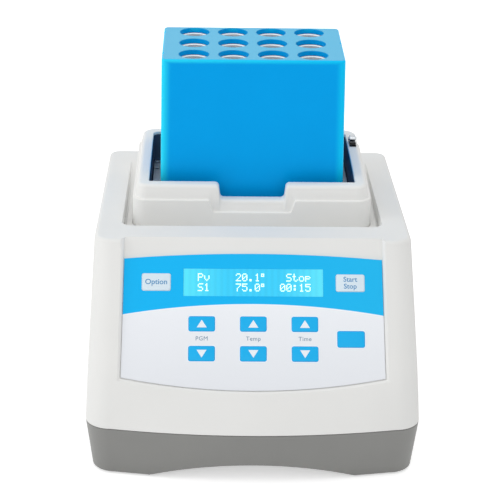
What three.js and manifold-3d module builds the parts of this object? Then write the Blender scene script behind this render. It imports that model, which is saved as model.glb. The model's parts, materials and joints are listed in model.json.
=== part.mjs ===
// Dry block heater for test tubes: a two-part plastic housing with a sloping control panel, a
// raised collar round a heated well, and a lift-out aluminium tube block in a blue jacket.
// Millimetres, +Z up, front towards -Y. The origin is on the table under the middle of the body.
import * as THREE from "three";
import { mergeVertices } from "three/addons/utils/BufferGeometryUtils.js";
import Module from "manifold-3d";

const wasm = await Module();
wasm.setup();

// ---- driving dimensions ----
// body outline at the seam between the two housings
const bodyWidth = 194;
const bodyLength = 256;
const frontCorner = 15;
const backCorner = 10;
const frontBow = 7.6; // how far the middle of the front stands ahead of its corners
const wall = 3;
const fit = 0.3; // clearance between pieces that fit together

// heights above the table
const rimZ0 = 1; // lower edge of the base, held up by the feet
const seamZ = 31;
const topZ = 122; // top face where it meets the control panel
const topFall = 3.25; // degrees, the top face falls towards the back
const topCorner = 12; // corner radius of the top face, seen from above
const sideDraft = 2.9; // each side leans in this far from the seam to the top
const baseDraft = 3.6; // and this far from the seam to the bottom
const baseFrontDraft = 2.6;
const baseSoft = 1.2;
const shoulderRound = 2.8;

// front face and the panel pocket in it
const faceAngle = 52.2;
const panelAngle = 50.64;
const panelSeamSet = 0.4;
const panelZ = 101.05; // middle of the display
const overlayHalfTop = 75.7;
const overlayHalfBottom = 76.4;
const overlayTopSide = 14.2;
const overlayTopMid = 17.5;
const overlayBottomSide = 57;
const overlayBottomMid = 64.5;
const overlayThick = 0.5;
const pocketWall = 2.8;
const lcdWidth = 81.8;
const lcdHeight = 16.7;

// keys, all on the panel plane, from the middle of the display
const keyWidth = 15;
const keyHeight = 8.6;
const keyPitch = 30;
const keyRows = [-25, -42.7];
const sideKeyWidth = 16.4;
const sideKeyHeight = 10;
const sideKeyX = 56.8;
const multiKeyWidth = 15.6;
const multiKeyHeight = 9.4;
const multiKeyS = -33.8;
const keyProud = 0.35;
const keyTravel = 0.4;

// heated well and its collar
const wellSetback = 91.7; // middle of the well behind the edge of the top face
const wellHalfWidth = 63;
const wellHalfLength = 45.4;
const wellFloorZ = 120;
const collarTopZ = 140;
const collarLedgeZ = 131.4;
const collarWall = 10;
const collarStep = 1.2;
const collarCorner = 9;
const collarBottomZ = 104;
const rimNotchDepth = 9.7;
const ledgeNotchDepth = 7.8;
const rimNotchHalf = 20.2;
const ledgeNotchHalf = 26;
const notchSlope = 2.4;
const recessFloorZ = 113.3; // level, so the recess runs out where the sloping top comes down to it
const recessFront = 15;
const recessSide = 5.8;
const recessBack = 10;
const recessCorner = 7;
const recessRim = 7; // the top face keeps at least this much beside the recess
const recessDraft = 0.1; // the recess walls lean in this far for each mm of depth
const linerWall = 1.5;

// tube block and its jacket
const jacketHeight = 94;
const jacketWall = 1.5;
const jacketTop = 3;
const jacketDraft = 1.2; // each side stands out this far more at its bottom
const jacketMarginX = 10; // left beside the outer holes
const jacketMarginY = 1.8;
const tubePitch = 24;
const tubeColumns = 4;
const tubeRows = 3;
const tubeBore = 17;
const jacketHole = tubeBore + 1.6;
const jacketWidth = (tubeColumns - 1) * tubePitch + jacketHole + 2 * jacketMarginX;
const jacketLength = (tubeRows - 1) * tubePitch + jacketHole + 2 * jacketMarginY;
const gripNotch = 2; // radius of the half-round notches in the jacket's top side edges
const tubeDepth = 84;

// under the well
const plateThick = 8;
const heaterThick = 2.5;
const padThick = 9;
const trayThick = 2;

// base
const floorZ = 12;
const floorThick = 2.5;
const archHalf = 60;
const archRise = 9.5;
const footRadius = 9;
const footInsetX = 22;
const footInsetY = 32;

// rear
const rearPlateWidth = 140;
const rearPlateZ = [44, 92];
const rearPlateThick = 1.5;
const rearPocketDepth = 5;

// ---- colours ----
const paint = (color, roughness, metalness = 0) => new THREE.MeshStandardMaterial({ color, roughness, metalness });
const offWhite = 0xe4e4e2;
const baseGrey = 0x8c8c89;
const panelBlue = 0x20aeef;
const panelPale = 0xe6e8ec;
const jacketBlue = 0x0a8fe0;

// ---- helpers: solids and places ----
function toSolid(geometry) {
  const g = geometry.clone();
  g.deleteAttribute("normal");
  g.deleteAttribute("uv");
  const m = mergeVertices(g, 1e-4);
  const mesh = new wasm.Mesh({
    numProp: 3,
    vertProperties: new Float32Array(m.attributes.position.array),
    triVerts: new Uint32Array(m.index.array),
  });
  mesh.merge();
  return new wasm.Manifold(mesh);
}

function toGeometry(solid) {
  const mesh = solid.getMesh();
  const g = new THREE.BufferGeometry();
  g.setAttribute("position", new THREE.BufferAttribute(new Float32Array(mesh.vertProperties), 3));
  g.setIndex(new THREE.BufferAttribute(new Uint32Array(mesh.triVerts), 1));
  g.computeVertexNormals();
  return g;
}

const cut = (base, tools) => toGeometry(tools.reduce((s, t) => s.subtract(toSolid(t)), toSolid(base)));

const join = (base, tools) => toGeometry(tools.reduce((s, t) => s.add(toSolid(t)), toSolid(base)));

const common = (a, b) => toGeometry(toSolid(a).intersect(toSolid(b)));

const box = (x0, x1, y0, y1, z0, z1) =>
  new THREE.BoxGeometry(x1 - x0, y1 - y0, z1 - z0).translate((x0 + x1) / 2, (y0 + y1) / 2, (z0 + z1) / 2);

// Upright disc or rod from z0 to z1.
const rod = (x, y, z0, z1, radius, sides = 20) =>
  new THREE.CylinderGeometry(radius, radius, z1 - z0, sides).rotateX(Math.PI / 2).translate(x, y, (z0 + z1) / 2);

// Flat outline drawn in X and Y, drawn out from z0 to z1.
function prism(points, z0, z1) {
  const shape = new THREE.Shape(points.map(([x, y]) => new THREE.Vector2(x, y)));
  return new THREE.ExtrudeGeometry(shape, { depth: z1 - z0, bevelEnabled: false, steps: 1 }).translate(0, 0, z0);
}

// Outline drawn in Y and Z, drawn out along X.
const sidePrism = (points, x0, x1) =>
  prism(points, x0, x1).applyMatrix4(new THREE.Matrix4().set(0, 0, 1, 0, 1, 0, 0, 0, 0, 1, 0, 0, 0, 0, 0, 1));

// Outline drawn in X and Z, drawn out along Y.
const frontPrism = (points, y0, y1) =>
  prism(points.map(([x, z]) => [x, -z]), y0, y1).rotateX(-Math.PI / 2);

function roundRect(x0, x1, y0, y1, r, steps = 4) {
  const out = [];
  const corners = [[x1 - r, y0 + r, -90], [x1 - r, y1 - r, 0], [x0 + r, y1 - r, 90], [x0 + r, y0 + r, 180]];
  for (const [cx, cy, start] of corners) {
    for (let i = 0; i <= steps; i++) {
      const a = THREE.MathUtils.degToRad(start + (90 * i) / steps);
      out.push([cx + r * Math.cos(a), cy + r * Math.sin(a)]);
    }
  }
  return out;
}

// Closed skin through rings of equal point count, each ring running the same way round.
function loft(rings) {
  const n = rings[0].length;
  const positions = rings.flat(2);
  const index = [];
  for (let k = 0; k + 1 < rings.length; k++) {
    for (let i = 0; i < n; i++) {
      const a = k * n + i;
      const b = k * n + ((i + 1) % n);
      index.push(a, b, b + n, a, b + n, a + n);
    }
  }
  const cap = (ring, base, up) => {
    const mid = ring.reduce((s, p) => [s[0] + p[0] / n, s[1] + p[1] / n, s[2] + p[2] / n], [0, 0, 0]);
    const m = positions.length / 3;
    positions.push(...mid);
    for (let i = 0; i < n; i++) {
      const j = (i + 1) % n;
      index.push(m, up ? base + i : base + j, up ? base + j : base + i);
    }
  };
  cap(rings[0], 0, false);
  cap(rings.at(-1), (rings.length - 1) * n, true);
  const g = new THREE.BufferGeometry();
  g.setAttribute("position", new THREE.BufferAttribute(new Float32Array(positions), 3));
  g.setIndex(index);
  g.computeVertexNormals();
  return g;
}

const model = new THREE.Group();
function put(name, geometry, material, parent = model) {
  const mesh = new THREE.Mesh(geometry, material);
  mesh.name = name;
  parent.add(mesh);
  return mesh;
}

// ---- derived places ----
const rad = THREE.MathUtils.degToRad;
const halfW = bodyWidth / 2;
const frontY = -bodyLength / 2;
const backY = bodyLength / 2;
const panelY = frontY + panelSeamSet + (panelZ - seamZ) / Math.tan(rad(panelAngle));
const shoulderY = panelY + (topZ - panelZ) / Math.tan(rad(panelAngle));
const wellY = shoulderY + wellSetback;
const topAt = (y) => topZ - Math.tan(rad(topFall)) * (y - shoulderY);
const faceY = (z) => frontY + (z - seamZ) / Math.tan(rad(faceAngle));
const jacketTopZ = wellFloorZ + jacketHeight;

const panelMatrix = new THREE.Matrix4().makeRotationX(rad(panelAngle)).setPosition(0, panelY, panelZ);
const onPanel = (geometry) => geometry.applyMatrix4(panelMatrix);

// One ring of the body: half-width w, front yf with its bow, back yb, corner radii rf and rb.
function bodyRing(w, yf, yb, rf, rb, bow, zAt) {
  const ring = [];
  const add = (x, y) => {
    const u = Math.min(1, Math.abs(x) / (w - rf));
    const share = THREE.MathUtils.clamp((yb - y) / (yb - yf), 0, 1);
    const yy = y + bow * u * u * share;
    ring.push([x, yy, zAt(yy)]);
  };
  const flat = 10;
  for (let i = 0; i < flat; i++) add(-(w - rf) + (2 * (w - rf) * i) / flat, yf);
  const arc = (cx, cy, r, start, steps) => {
    for (let i = 0; i <= steps; i++) {
      const a = rad(start + (90 * i) / steps);
      add(cx + r * Math.cos(a), cy + r * Math.sin(a));
    }
  };
  arc(w - rf, yf + rf, rf, -90, 6);
  arc(w - rb, yb - rb, rb, 0, 4);
  arc(-(w - rb), yb - rb, rb, 90, 4);
  arc(-(w - rf), yf + rf, rf, 180, 5);
  return ring;
}

// Bow of the front at height z: full at the seam, nearly flat from the panel's lower edge up.
function bowAt(z) {
  const u = THREE.MathUtils.clamp((z - seamZ) / 27, 0, 1);
  return 0.8 + (frontBow - 0.8) * (1 - u) ** 1.5;
}

function upperOuter() {
  const rings = [];
  const topFrontZ = topAt(faceY(topZ)) - shoulderRound;
  for (const t of [0, 0.04, 0.09, 0.15, 0.22, 0.3, 0.45, 0.7, 1]) {
    const z = seamZ + t * (topFrontZ - seamZ);
    const lean = sideDraft * t;
    const rf = frontCorner + t * (topCorner - frontCorner);
    const rb = backCorner - t * 3;
    const zAt = (y) => seamZ + t * (topAt(y) - shoulderRound - seamZ);
    rings.push(bodyRing(halfW - lean, faceY(z), backY - lean, rf, rb, bowAt(z), zAt));
  }
  for (const a of [30, 60, 90]) {
    const inset = shoulderRound * (1 - Math.cos(rad(a)));
    const drop = shoulderRound * (1 - Math.sin(rad(a)));
    const yf = faceY(topFrontZ + (shoulderRound - drop) * 0.55) + inset * 0.9;
    const w = halfW - sideDraft - inset;
    const rf = topCorner - inset;
    const rb = backCorner - 3 - inset;
    rings.push(bodyRing(w, yf, backY - sideDraft - inset, rf, rb, bowAt(topZ), (y) => topAt(y) - drop));
  }
  return loft(rings);
}

// The hollow behind the shell; its front runs parallel to the panel plane.
function upperHollow() {
  const inFace = (z) =>
    panelY + (z - panelZ) / Math.tan(rad(panelAngle)) + (overlayThick + fit + pocketWall) / Math.sin(rad(panelAngle));
  const rings = [-0.02, 0.12, 0.28, 1].map((t) => {
    const z = seamZ + t * (topZ - wall - seamZ);
    const lean = sideDraft * t + wall;
    const zAt = (y) => seamZ + t * (topAt(y) - wall - seamZ);
    const extra = Math.max(0, bowAt(z) - 0.8);
    return bodyRing(halfW - lean, inFace(z) + 0.2, backY - lean, 20, 8, extra, zAt);
  });
  return loft(rings);
}

// Outline of the overlay, grown by g on every side: bowed top and bottom edges.
function overlayOutline(g, openTop = 0) {
  const out = [];
  const steps = 12;
  for (let i = 0; i <= steps; i++) {
    const u = -1 + (2 * i) / steps;
    const rise = (overlayBottomMid - overlayBottomSide) * (1 - u * u);
    out.push([u * (overlayHalfBottom + g), -overlayBottomSide - rise - g]);
  }
  for (let i = 0; i <= steps; i++) {
    const u = 1 - (2 * i) / steps;
    const rise = (overlayTopMid - overlayTopSide) * (1 - u * u);
    out.push([u * (overlayHalfTop + g), overlayTopSide + rise + g + openTop]);
  }
  return out;
}

// Opening behind the overlay for the key board and the display.
const windowHalfW = sideKeyX + sideKeyWidth / 2 + 5;
const windowTop = lcdHeight / 2 + 3;
const windowBottom = keyRows[1] - keyHeight / 2 - 7;

const collarHalfW = wellHalfWidth + collarWall;
const collarHalfL = wellHalfLength + collarWall;

function recessTool() {
  const hw = Math.min(collarHalfW + recessSide, halfW - sideDraft - recessRim);
  const y0 = wellY - collarHalfL - recessFront;
  const y1 = wellY + collarHalfL + recessBack;
  const ring = (z) => {
    const s = recessDraft * (z - topZ);
    return roundRect(-hw - s, hw + s, y0 - s, y1 + s, recessCorner + s, 4).map(([x, y]) => [x, y, z]);
  };
  return loft([ring(recessFloorZ), ring(topZ + 2)]);
}

function upperHousing() {
  const hollow = upperHollow();
  const outer = upperOuter();
  const tub = box(-halfW, halfW, shoulderY + 12, backY, recessFloorZ - wall, topZ + 9);
  const tubIn = common(tub, outer);
  const shell = join(cut(outer, [hollow]), [tubIn]);
  const pocket = onPanel(prism(overlayOutline(fit, 40), -overlayThick - fit, 30));
  const opening = onPanel(
    prism(roundRect(-windowHalfW, windowHalfW, windowBottom, windowTop, 1.2, 2), -pocketWall - 8, 0),
  );
  const g = fit;
  const hw = collarHalfW + g;
  const hl = collarHalfL + g;
  const hole = prism(roundRect(-hw, hw, wellY - hl, wellY + hl, collarCorner, 4), 90, topZ + 8);
  const rearPocket = box(
    -rearPlateWidth / 2 - fit, rearPlateWidth / 2 + fit,
    backY - rearPocketDepth, backY + 5, rearPlateZ[0] - fit, rearPlateZ[1] + fit,
  );
  const rearHole = box(
    -rearPlateWidth / 2 + 6, rearPlateWidth / 2 - 6,
    backY - 20, backY + 5, rearPlateZ[0] + 5, rearPlateZ[1] - 5,
  );
  // frame behind the rear plate, so that the pocket keeps a full wall behind it
  const frame = box(
    -rearPlateWidth / 2 - 5, rearPlateWidth / 2 + 5,
    backY - rearPocketDepth - wall, backY - sideDraft - wall + 1, rearPlateZ[0] - 5, rearPlateZ[1] + 5,
  );
  const full = join(shell, [common(frame, outer)]);
  return cut(full, [pocket, opening, recessTool(), hole, rearPocket, rearHole]);
}

// ---- base ----
function baseRing(z, inset) {
  const t = (seamZ - z) / (seamZ - rimZ0);
  const side = baseDraft * t + inset;
  const front = baseFrontDraft * t + inset;
  const rf = Math.max(2, frontCorner - side * 0.5);
  const rb = Math.max(2, backCorner - side * 0.5);
  return bodyRing(halfW - side, frontY + front, backY - side, rf, rb, frontBow, () => z);
}

const ventPitch = 9;
const ventCount = 7;

function lowerHousing() {
  const soft = baseSoft;
  const outer = loft([
    baseRing(rimZ0, soft), baseRing(rimZ0 + soft * 0.3, soft * 0.3), baseRing(rimZ0 + soft, 0), baseRing(seamZ - fit, 0),
  ]);
  const above = loft([baseRing(floorZ + floorThick, wall), baseRing(seamZ + 1, wall)]);
  const below = loft([baseRing(rimZ0 - 1, wall + 1.5), baseRing(floorZ, wall + 0.5)]);
  const radius = (archHalf ** 2 + archRise ** 2) / (2 * archRise);
  const arch = [];
  for (let i = 0; i <= 16; i++) {
    const a = Math.asin(archHalf / radius) * (1 - (2 * i) / 16);
    arch.push([radius * Math.sin(a), rimZ0 + archRise - radius * (1 - Math.cos(a))]);
  }
  arch.push([-archHalf - 4, rimZ0 - 3], [archHalf + 4, rimZ0 - 3]);
  const archTool = frontPrism(arch, frontY - 5, backY + 5);
  const vents = [];
  for (const side of [-1, 1]) {
    for (let i = 0; i < ventCount; i++) {
      const y = wellY + (i - (ventCount - 1) / 2) * ventPitch;
      vents.push(box(side * 52 - 16, side * 52 + 16, y - 1.75, y + 1.75, floorZ - 1, floorZ + floorThick + 1));
    }
  }
  const holes = screwSpots().map(([x, y]) => rod(x, y, floorZ - 1, floorZ + floorThick + 1, 2, 12));
  // four moulded pegs carry the main board
  const pegs = boardPegs().map(([x, y]) => rod(x, y, floorZ + floorThick - 0.5, boardZ, 3, 12));
  const shell = cut(outer, [above, below, archTool, ...vents, ...holes]);
  return join(shell, pegs);
}

const footSpots = () => {
  const out = {};
  for (const [name, sx, sy] of [["front_left", -1, -1], ["front_right", 1, -1], ["rear_left", -1, 1], ["rear_right", 1, 1]])
    out[name] = [sx * (halfW - footInsetX), sy * (bodyLength / 2 - footInsetY)];
  return out;
};

// Housing screws stand beside the feet, towards the middle of the length.
const screwSpots = () => Object.values(footSpots()).map(([x, y]) => [x, y - Math.sign(y) * (footRadius + 9)]);

// Main board on its pegs, ahead of the heater tray.
const boardZ = floorZ + floorThick + 6;
const boardHalfW = 62;
const boardY = [frontY + 26, frontY + 92];
const boardPegs = () =>
  [-1, 1].flatMap((s) => boardY.map((y, i) => [s * (boardHalfW - 5), y + (i ? -5 : 5)]));

// ---- build: housings, feet, screws ----
put("lower_housing", lowerHousing(), paint(baseGrey, 0.55));
put("upper_housing", upperHousing(), paint(offWhite, 0.42));
for (const [name, [x, y]] of Object.entries(footSpots()))
  put(`foot_${name}`, rod(0, 0, 0, floorZ, footRadius, 24), paint(0x26272a, 0.85)).position.set(x, y, 0);
screwSpots().forEach(([x, y], i) => {
  const head = rod(0, 0, floorZ - 2.2, floorZ - 0.05, 3.6, 16);
  const shank = rod(0, 0, floorZ - 1, floorZ + floorThick + 8, 1.6, 12);
  put(`housing_screw_${i + 1}`, join(head, [shank]), paint(0xb8babd, 0.35, 1)).position.set(x, y, 0);
});

// ---- collar, liner and what is under the well ----
const wellRing = (hw, hl, r, z) =>
  roundRect(-hw, hw, wellY - hl, wellY + hl, r, 4).map(([x, y]) => [x, y, z]);

function wellCollar() {
  const hw = collarHalfW;
  const hl = collarHalfL;
  const r = collarCorner;
  const lower = loft([
    wellRing(hw, hl, r, collarBottomZ), wellRing(hw, hl, r, recessFloorZ),
    wellRing(hw - 0.2, hl - 0.5, r, collarLedgeZ - 0.8), wellRing(hw - 1, hl - 1.3, r - 0.8, collarLedgeZ),
  ]);
  const s = collarStep;
  const e = 2.6;
  const upper = loft([
    wellRing(hw - s - 0.4, hl - s - 0.7, r - s, collarLedgeZ - ledgeNotchDepth - 2),
    wellRing(hw - s - 1.8, hl - s - 2, r - s, collarTopZ - e),
    wellRing(hw - s - 1.8 - e * 0.3, hl - s - 2 - e * 0.3, r - s - e * 0.2, collarTopZ - e * 0.3),
    wellRing(hw - s - 1.8 - e, hl - s - 2 - e, r - s - e * 0.8, collarTopZ),
  ]);
  const front = wellY - hl;
  const notch = (half, z1, z0, y0, y1) =>
    frontPrism([[-half, z1], [-half + notchSlope, z0], [half - notchSlope, z0], [half, z1]], y0, y1);
  const ledgeCut = notch(ledgeNotchHalf, collarLedgeZ + 0.2, collarLedgeZ - ledgeNotchDepth, front - 1, front + 9);
  const tiers = join(cut(lower, [ledgeCut]), [upper]);
  const rimCut = notch(rimNotchHalf, collarTopZ + 0.2, collarTopZ - rimNotchDepth, front - 1, wellY);
  const lipDepth = 2;
  const mouth = prism(wellRing(wellHalfWidth, wellHalfLength, 2, 0).map(([x, y]) => [x, y]), 90, collarTopZ + 2);
  const lw = wellHalfWidth + linerWall + fit;
  const ll = wellHalfLength + linerWall + fit;
  const seat = box(-lw, lw, wellY - ll, wellY + ll, collarBottomZ - 2, collarTopZ - lipDepth);
  const hollowOut = box(-hw + 2.5, hw - 2.5, front + 2.5, wellY + hl - 2.5, collarBottomZ - 2, collarLedgeZ - 9);
  const core = box(-lw - 2.5, lw + 2.5, wellY - ll - 2.5, wellY + ll + 2.5, collarBottomZ - 4, collarTopZ);
  const ring = cut(hollowOut, [core]);
  return cut(tiers, [rimCut, mouth, seat, ring]);
}

const plateTop = wellFloorZ;
const plateBottom = plateTop - plateThick;

function wellLiner() {
  const hw = wellHalfWidth + linerWall;
  const hl = wellHalfLength + linerWall;
  const z1 = collarTopZ - 2 - fit;
  const z0 = plateBottom - fit - linerWall;
  const outer = box(-hw, hw, wellY - hl, wellY + hl, z0, z1);
  const inner = box(-wellHalfWidth - 0.1, wellHalfWidth + 0.1, wellY - wellHalfLength - 0.1, wellY + wellHalfLength + 0.1,
    plateBottom - fit, z1 + 5);
  const flange = 6;
  const through = box(-wellHalfWidth + flange, wellHalfWidth - flange, wellY - wellHalfLength + flange,
    wellY + wellHalfLength - flange, z0 - 1, z1);
  // the front wall dips behind the notch in the collar
  const half = rimNotchHalf + 1;
  const dip = frontPrism(
    [
      [-half, z1 + 1], [-half + notchSlope, z1 - rimNotchDepth],
      [half - notchSlope, z1 - rimNotchDepth], [half, z1 + 1],
    ],
    wellY - hl - 1, wellY - wellHalfLength + 1,
  );
  return cut(outer, [inner, through, dip]);
}

function heaterPlate() {
  const hw = wellHalfWidth - fit;
  const hl = wellHalfLength - fit;
  const plate = box(-hw, hw, wellY - hl, wellY + hl, plateBottom, plateTop);
  const holes = [];
  for (const sx of [-1, 1])
    for (const y of [-41, -30, 30, 41]) holes.push(rod(sx * 60.2, wellY + y, plateTop - 5, plateTop + 1, 1.5, 12));
  const probe = rod(0, 0, -1, 30, 2.3, 12).rotateX(-Math.PI / 2).translate(20, wellY + hl - 29, plateBottom + 4);
  return cut(plate, [...holes, probe]);
}

const heaterHalfW = wellHalfWidth - 8;
const heaterHalfL = wellHalfLength - 8;
const heaterBottom = plateBottom - heaterThick;
const padBottom = heaterBottom - padThick;
const trayTop = padBottom;
const trayHalfW = wellHalfWidth + 6;

put("well_collar", wellCollar(), paint(offWhite, 0.42));
put("well_liner", wellLiner(), paint(0x33434f, 0.5));
put("heater_plate", heaterPlate(), paint(0x8d9496, 0.45, 1));
put(
  "heating_element",
  box(-heaterHalfW, heaterHalfW, wellY - heaterHalfL, wellY + heaterHalfL, heaterBottom, plateBottom - 0.02),
  paint(0xb5652a, 0.7),
);
put(
  "insulation_pad",
  box(-heaterHalfW, heaterHalfW, wellY - heaterHalfL, wellY + heaterHalfL, padBottom, heaterBottom - 0.02),
  paint(0xe8e4d8, 0.95),
);

// Sheet-steel bridge that stands on the base floor and carries the heater.
function heaterTray() {
  const t = trayThick;
  const foot = 10;
  const z0 = floorZ + floorThick;
  const hw = trayHalfW;
  const outline = [
    [-hw - t, z0], [-hw - t, trayTop - 0.02], [hw + t, trayTop - 0.02], [hw + t, z0], [hw - foot, z0], [hw - foot, z0 + t],
    [hw, z0 + t], [hw, trayTop - t - 0.02], [-hw, trayTop - t - 0.02], [-hw, z0 + t], [-hw + foot, z0 + t], [-hw + foot, z0],
  ].map(([x, z]) => [x, z + 0.02]);
  return frontPrism(outline, wellY - 28, wellY + 28);
}
put("heater_tray", heaterTray(), paint(0xa9adb0, 0.4, 1));

// Probe in the plate's rear edge, with its collar and the start of its lead outside.
function temperatureSensor() {
  const y1 = wellY + wellHalfLength - fit;
  const z = plateBottom + 4;
  return rod(0, 0, -27, -0.3, 2, 12).rotateX(-Math.PI / 2).translate(20, y1, z);
}
put("temperature_sensor", temperatureSensor(), paint(0xc4c7ca, 0.3, 1));
put(
  "thermal_cutout",
  rod(-30, wellY, trayTop - trayThick - 7.05, trayTop - trayThick - 0.05, 8, 20),
  paint(0x2a2a2c, 0.6),
);

// ---- tube block and its jacket: lifted out together ----
const tubeCentres = [];
for (let i = 0; i < tubeColumns; i++)
  for (let j = 0; j < tubeRows; j++)
    tubeCentres.push([(i - (tubeColumns - 1) / 2) * tubePitch, wellY + (j - (tubeRows - 1) / 2) * tubePitch]);

function tubeBlock() {
  const hw = jacketWidth / 2 - jacketWall - fit;
  const hl = jacketLength / 2 - jacketWall - fit;
  const z1 = jacketTopZ - jacketTop - fit;
  const body = prism(roundRect(-hw, hw, wellY - hl, wellY + hl, 1, 1), plateTop + 0.02, z1);
  const bores = tubeCentres.map(([x, y]) => rod(x, y, z1 - tubeDepth, z1 + 1, tubeBore / 2, 20));
  return cut(body, bores);
}

function blockCover() {
  const hw = jacketWidth / 2;
  const hl = jacketLength / 2;
  const outline = (grow, z) =>
    roundRect(-hw - grow, hw + grow, wellY - hl - grow, wellY + hl + grow, 2.5, 3).map(([x, y]) => [x, y, z]);
  const outer = loft([outline(jacketDraft, plateTop + 1), outline(0, jacketTopZ)]);
  const inner = prism(
    roundRect(-hw + jacketWall, hw - jacketWall, wellY - hl + jacketWall, wellY + hl - jacketWall, 0.8, 1),
    plateTop, jacketTopZ - jacketTop,
  );
  const holes = tubeCentres.map(([x, y]) => rod(x, y, jacketTopZ - jacketTop - 1, jacketTopZ + 1, jacketHole / 2, 20));
  const notches = [[-1, -22], [-1, 23], [1, 2]].map(([side, dy]) =>
    rod(side * (hw + 0.6), wellY + dy, jacketTopZ - jacketTop - 1, jacketTopZ + 1, gripNotch, 12));
  return cut(outer, [inner, ...holes, ...notches]);
}

put("tube_block", tubeBlock(), paint(0xc9ccd0, 0.3, 1));
put("block_cover", blockCover(), paint(jacketBlue, 0.4));

// ---- control panel, in its own turned group: X across, Y up the slope, Z outwards ----
const panel = new THREE.Group();
panel.rotation.x = rad(panelAngle);
panel.position.set(0, panelY, panelZ);
model.add(panel);

const keys = [
  ["key_option", -sideKeyX, 0, sideKeyWidth, sideKeyHeight, panelPale],
  ["key_start_stop", sideKeyX, 0, sideKeyWidth, sideKeyHeight, panelPale],
  ["key_multi", sideKeyX, multiKeyS, multiKeyWidth, multiKeyHeight, panelBlue],
];
for (const [k, name] of [[-1, "program"], [0, "temp"], [1, "time"]]) {
  keys.push([`key_${name}_up`, k * keyPitch, keyRows[0], keyWidth, keyHeight, panelBlue]);
  keys.push([`key_${name}_down`, k * keyPitch, keyRows[1], keyWidth, keyHeight, panelBlue]);
}

const keyBottom = -overlayThick - fit - 0.9;
const boardFace = keyBottom - keyTravel - 0.1;
const keyPad = (w, h, g, z0, z1) => prism(roundRect(-w / 2 - g, w / 2 + g, -h / 2 - g, h / 2 + g, 1, 2), z0, z1);

function panelOverlay() {
  const sheet = prism(overlayOutline(0), -overlayThick, 0);
  const holes = keys.map(([, x, s, w, h]) => keyPad(w, h, fit, -overlayThick - 1, 1).translate(x, s, 0));
  const lcd = box(-lcdWidth / 2, lcdWidth / 2, -lcdHeight / 2, lcdHeight / 2, -overlayThick - 1, 1);
  return cut(sheet, [...holes, lcd]);
}
put("panel_overlay", panelOverlay(), paint(panelPale, 0.35), panel);
for (const [name, x, s, w, h, color] of keys)
  put(name, keyPad(w, h, 0, keyBottom, keyProud), paint(color, 0.4), panel).position.set(x, s, 0);

const lensGap = fit;
put(
  "lcd_window",
  box(-lcdWidth / 2 + lensGap, lcdWidth / 2 - lensGap, -lcdHeight / 2 + lensGap, lcdHeight / 2 - lensGap, -1, -0.1),
  paint(0x3fd0ff, 0.1),
  panel,
);
const moduleHalfW = lcdWidth / 2 + 4;
const moduleHalfH = lcdHeight / 2 + 2;
put(
  "lcd_module",
  box(-moduleHalfW, moduleHalfW, -moduleHalfH, moduleHalfH, -10, -1 - fit),
  paint(0x2b6f3a, 0.5),
  panel,
);

// Key board behind the overlay, cut away round the display, held at the edges of the opening.
function keyBoard() {
  const hw = windowHalfW - 0.6;
  const top = windowTop - 0.6;
  const bottom = windowBottom + 0.6;
  const nw = moduleHalfW + 0.5;
  const ns = -moduleHalfH - 0.5;
  const outline = [[-hw, bottom], [hw, bottom], [hw, top], [nw, top], [nw, ns], [-nw, ns], [-nw, top], [-hw, top]];
  return prism(outline, boardFace - 1.6, boardFace);
}
put("keypad_board", keyBoard(), paint(0x1f6a3a, 0.5), panel);

// ---- electronics on the base floor ----
const board = box(-boardHalfW, boardHalfW, boardY[0], boardY[1], boardZ + 0.02, boardZ + 1.6);
put("main_board", board, paint(0x1f6a3a, 0.5));
const onBoard = boardZ + 1.65;
put("heatsink", heatsink(), paint(0x9fa3a6, 0.4, 1));
function heatsink() {
  const x0 = -boardHalfW + 10;
  const y0 = boardY[0] + 22;
  const fins = [];
  for (let i = 0; i < 6; i++) fins.push(box(x0, x0 + 30, y0 + i * 4, y0 + i * 4 + 1.5, onBoard + 2.5, onBoard + 20));
  return join(box(x0, x0 + 30, y0, y0 + 21.5, onBoard, onBoard + 3), fins);
}
put(
  "heater_triac",
  box(-boardHalfW + 44, -boardHalfW + 54, boardY[0] + 26, boardY[0] + 31, onBoard, onBoard + 18),
  paint(0x1e1e20, 0.5),
);
put("transformer", box(10, 52, boardY[1] - 46, boardY[1] - 11, onBoard, onBoard + 30), paint(0x3c3a38, 0.6));
put("buzzer", rod(boardHalfW - 52, boardY[0] + 14, onBoard, onBoard + 7, 6, 20), paint(0x1b1b1d, 0.5));

// Flat cable from the key board down to the main board.
function keypadCable() {
  const rise = (s, w) => new THREE.Vector3(0, s, w).applyMatrix4(panelMatrix);
  const top = rise(-30, boardFace - 2.2);
  const a = rise(-30, boardFace - 12);
  const t = 1;
  const y0 = boardY[0] + 34;
  const path = [
    [top.y, top.z], [a.y, a.z], [y0 - t, a.z - 14], [y0 - t, onBoard], [y0, onBoard], [y0, a.z - 13.6], [a.y + 0.9, a.z + 0.9],
    [top.y + 0.9, top.z + 0.9],
  ];
  return sidePrism(path, -7, 7);
}
put("keypad_cable", keypadCable(), paint(0xb9bcc0, 0.6));

// ---- rear plate with power inlet, fuse drawer and switch ----
const rearY = backY - rearPocketDepth + fit;
const rearFaceY = rearY + rearPlateThick;
const rearMidZ = (rearPlateZ[0] + rearPlateZ[1]) / 2;
const inletX = 34;
const switchX = -2;
const inletHalf = [13.8, 10];
const fuseHeight = 9;

// Body cut-outs in the plate: the inlet body and the switch body pass through it.
const rearCut = (x, hx, hz, z = rearMidZ) => box(x - hx, x + hx, rearY - 2, rearFaceY + 2, z - hz, z + hz);
const inletZ = rearMidZ + fuseHeight / 2;

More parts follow.
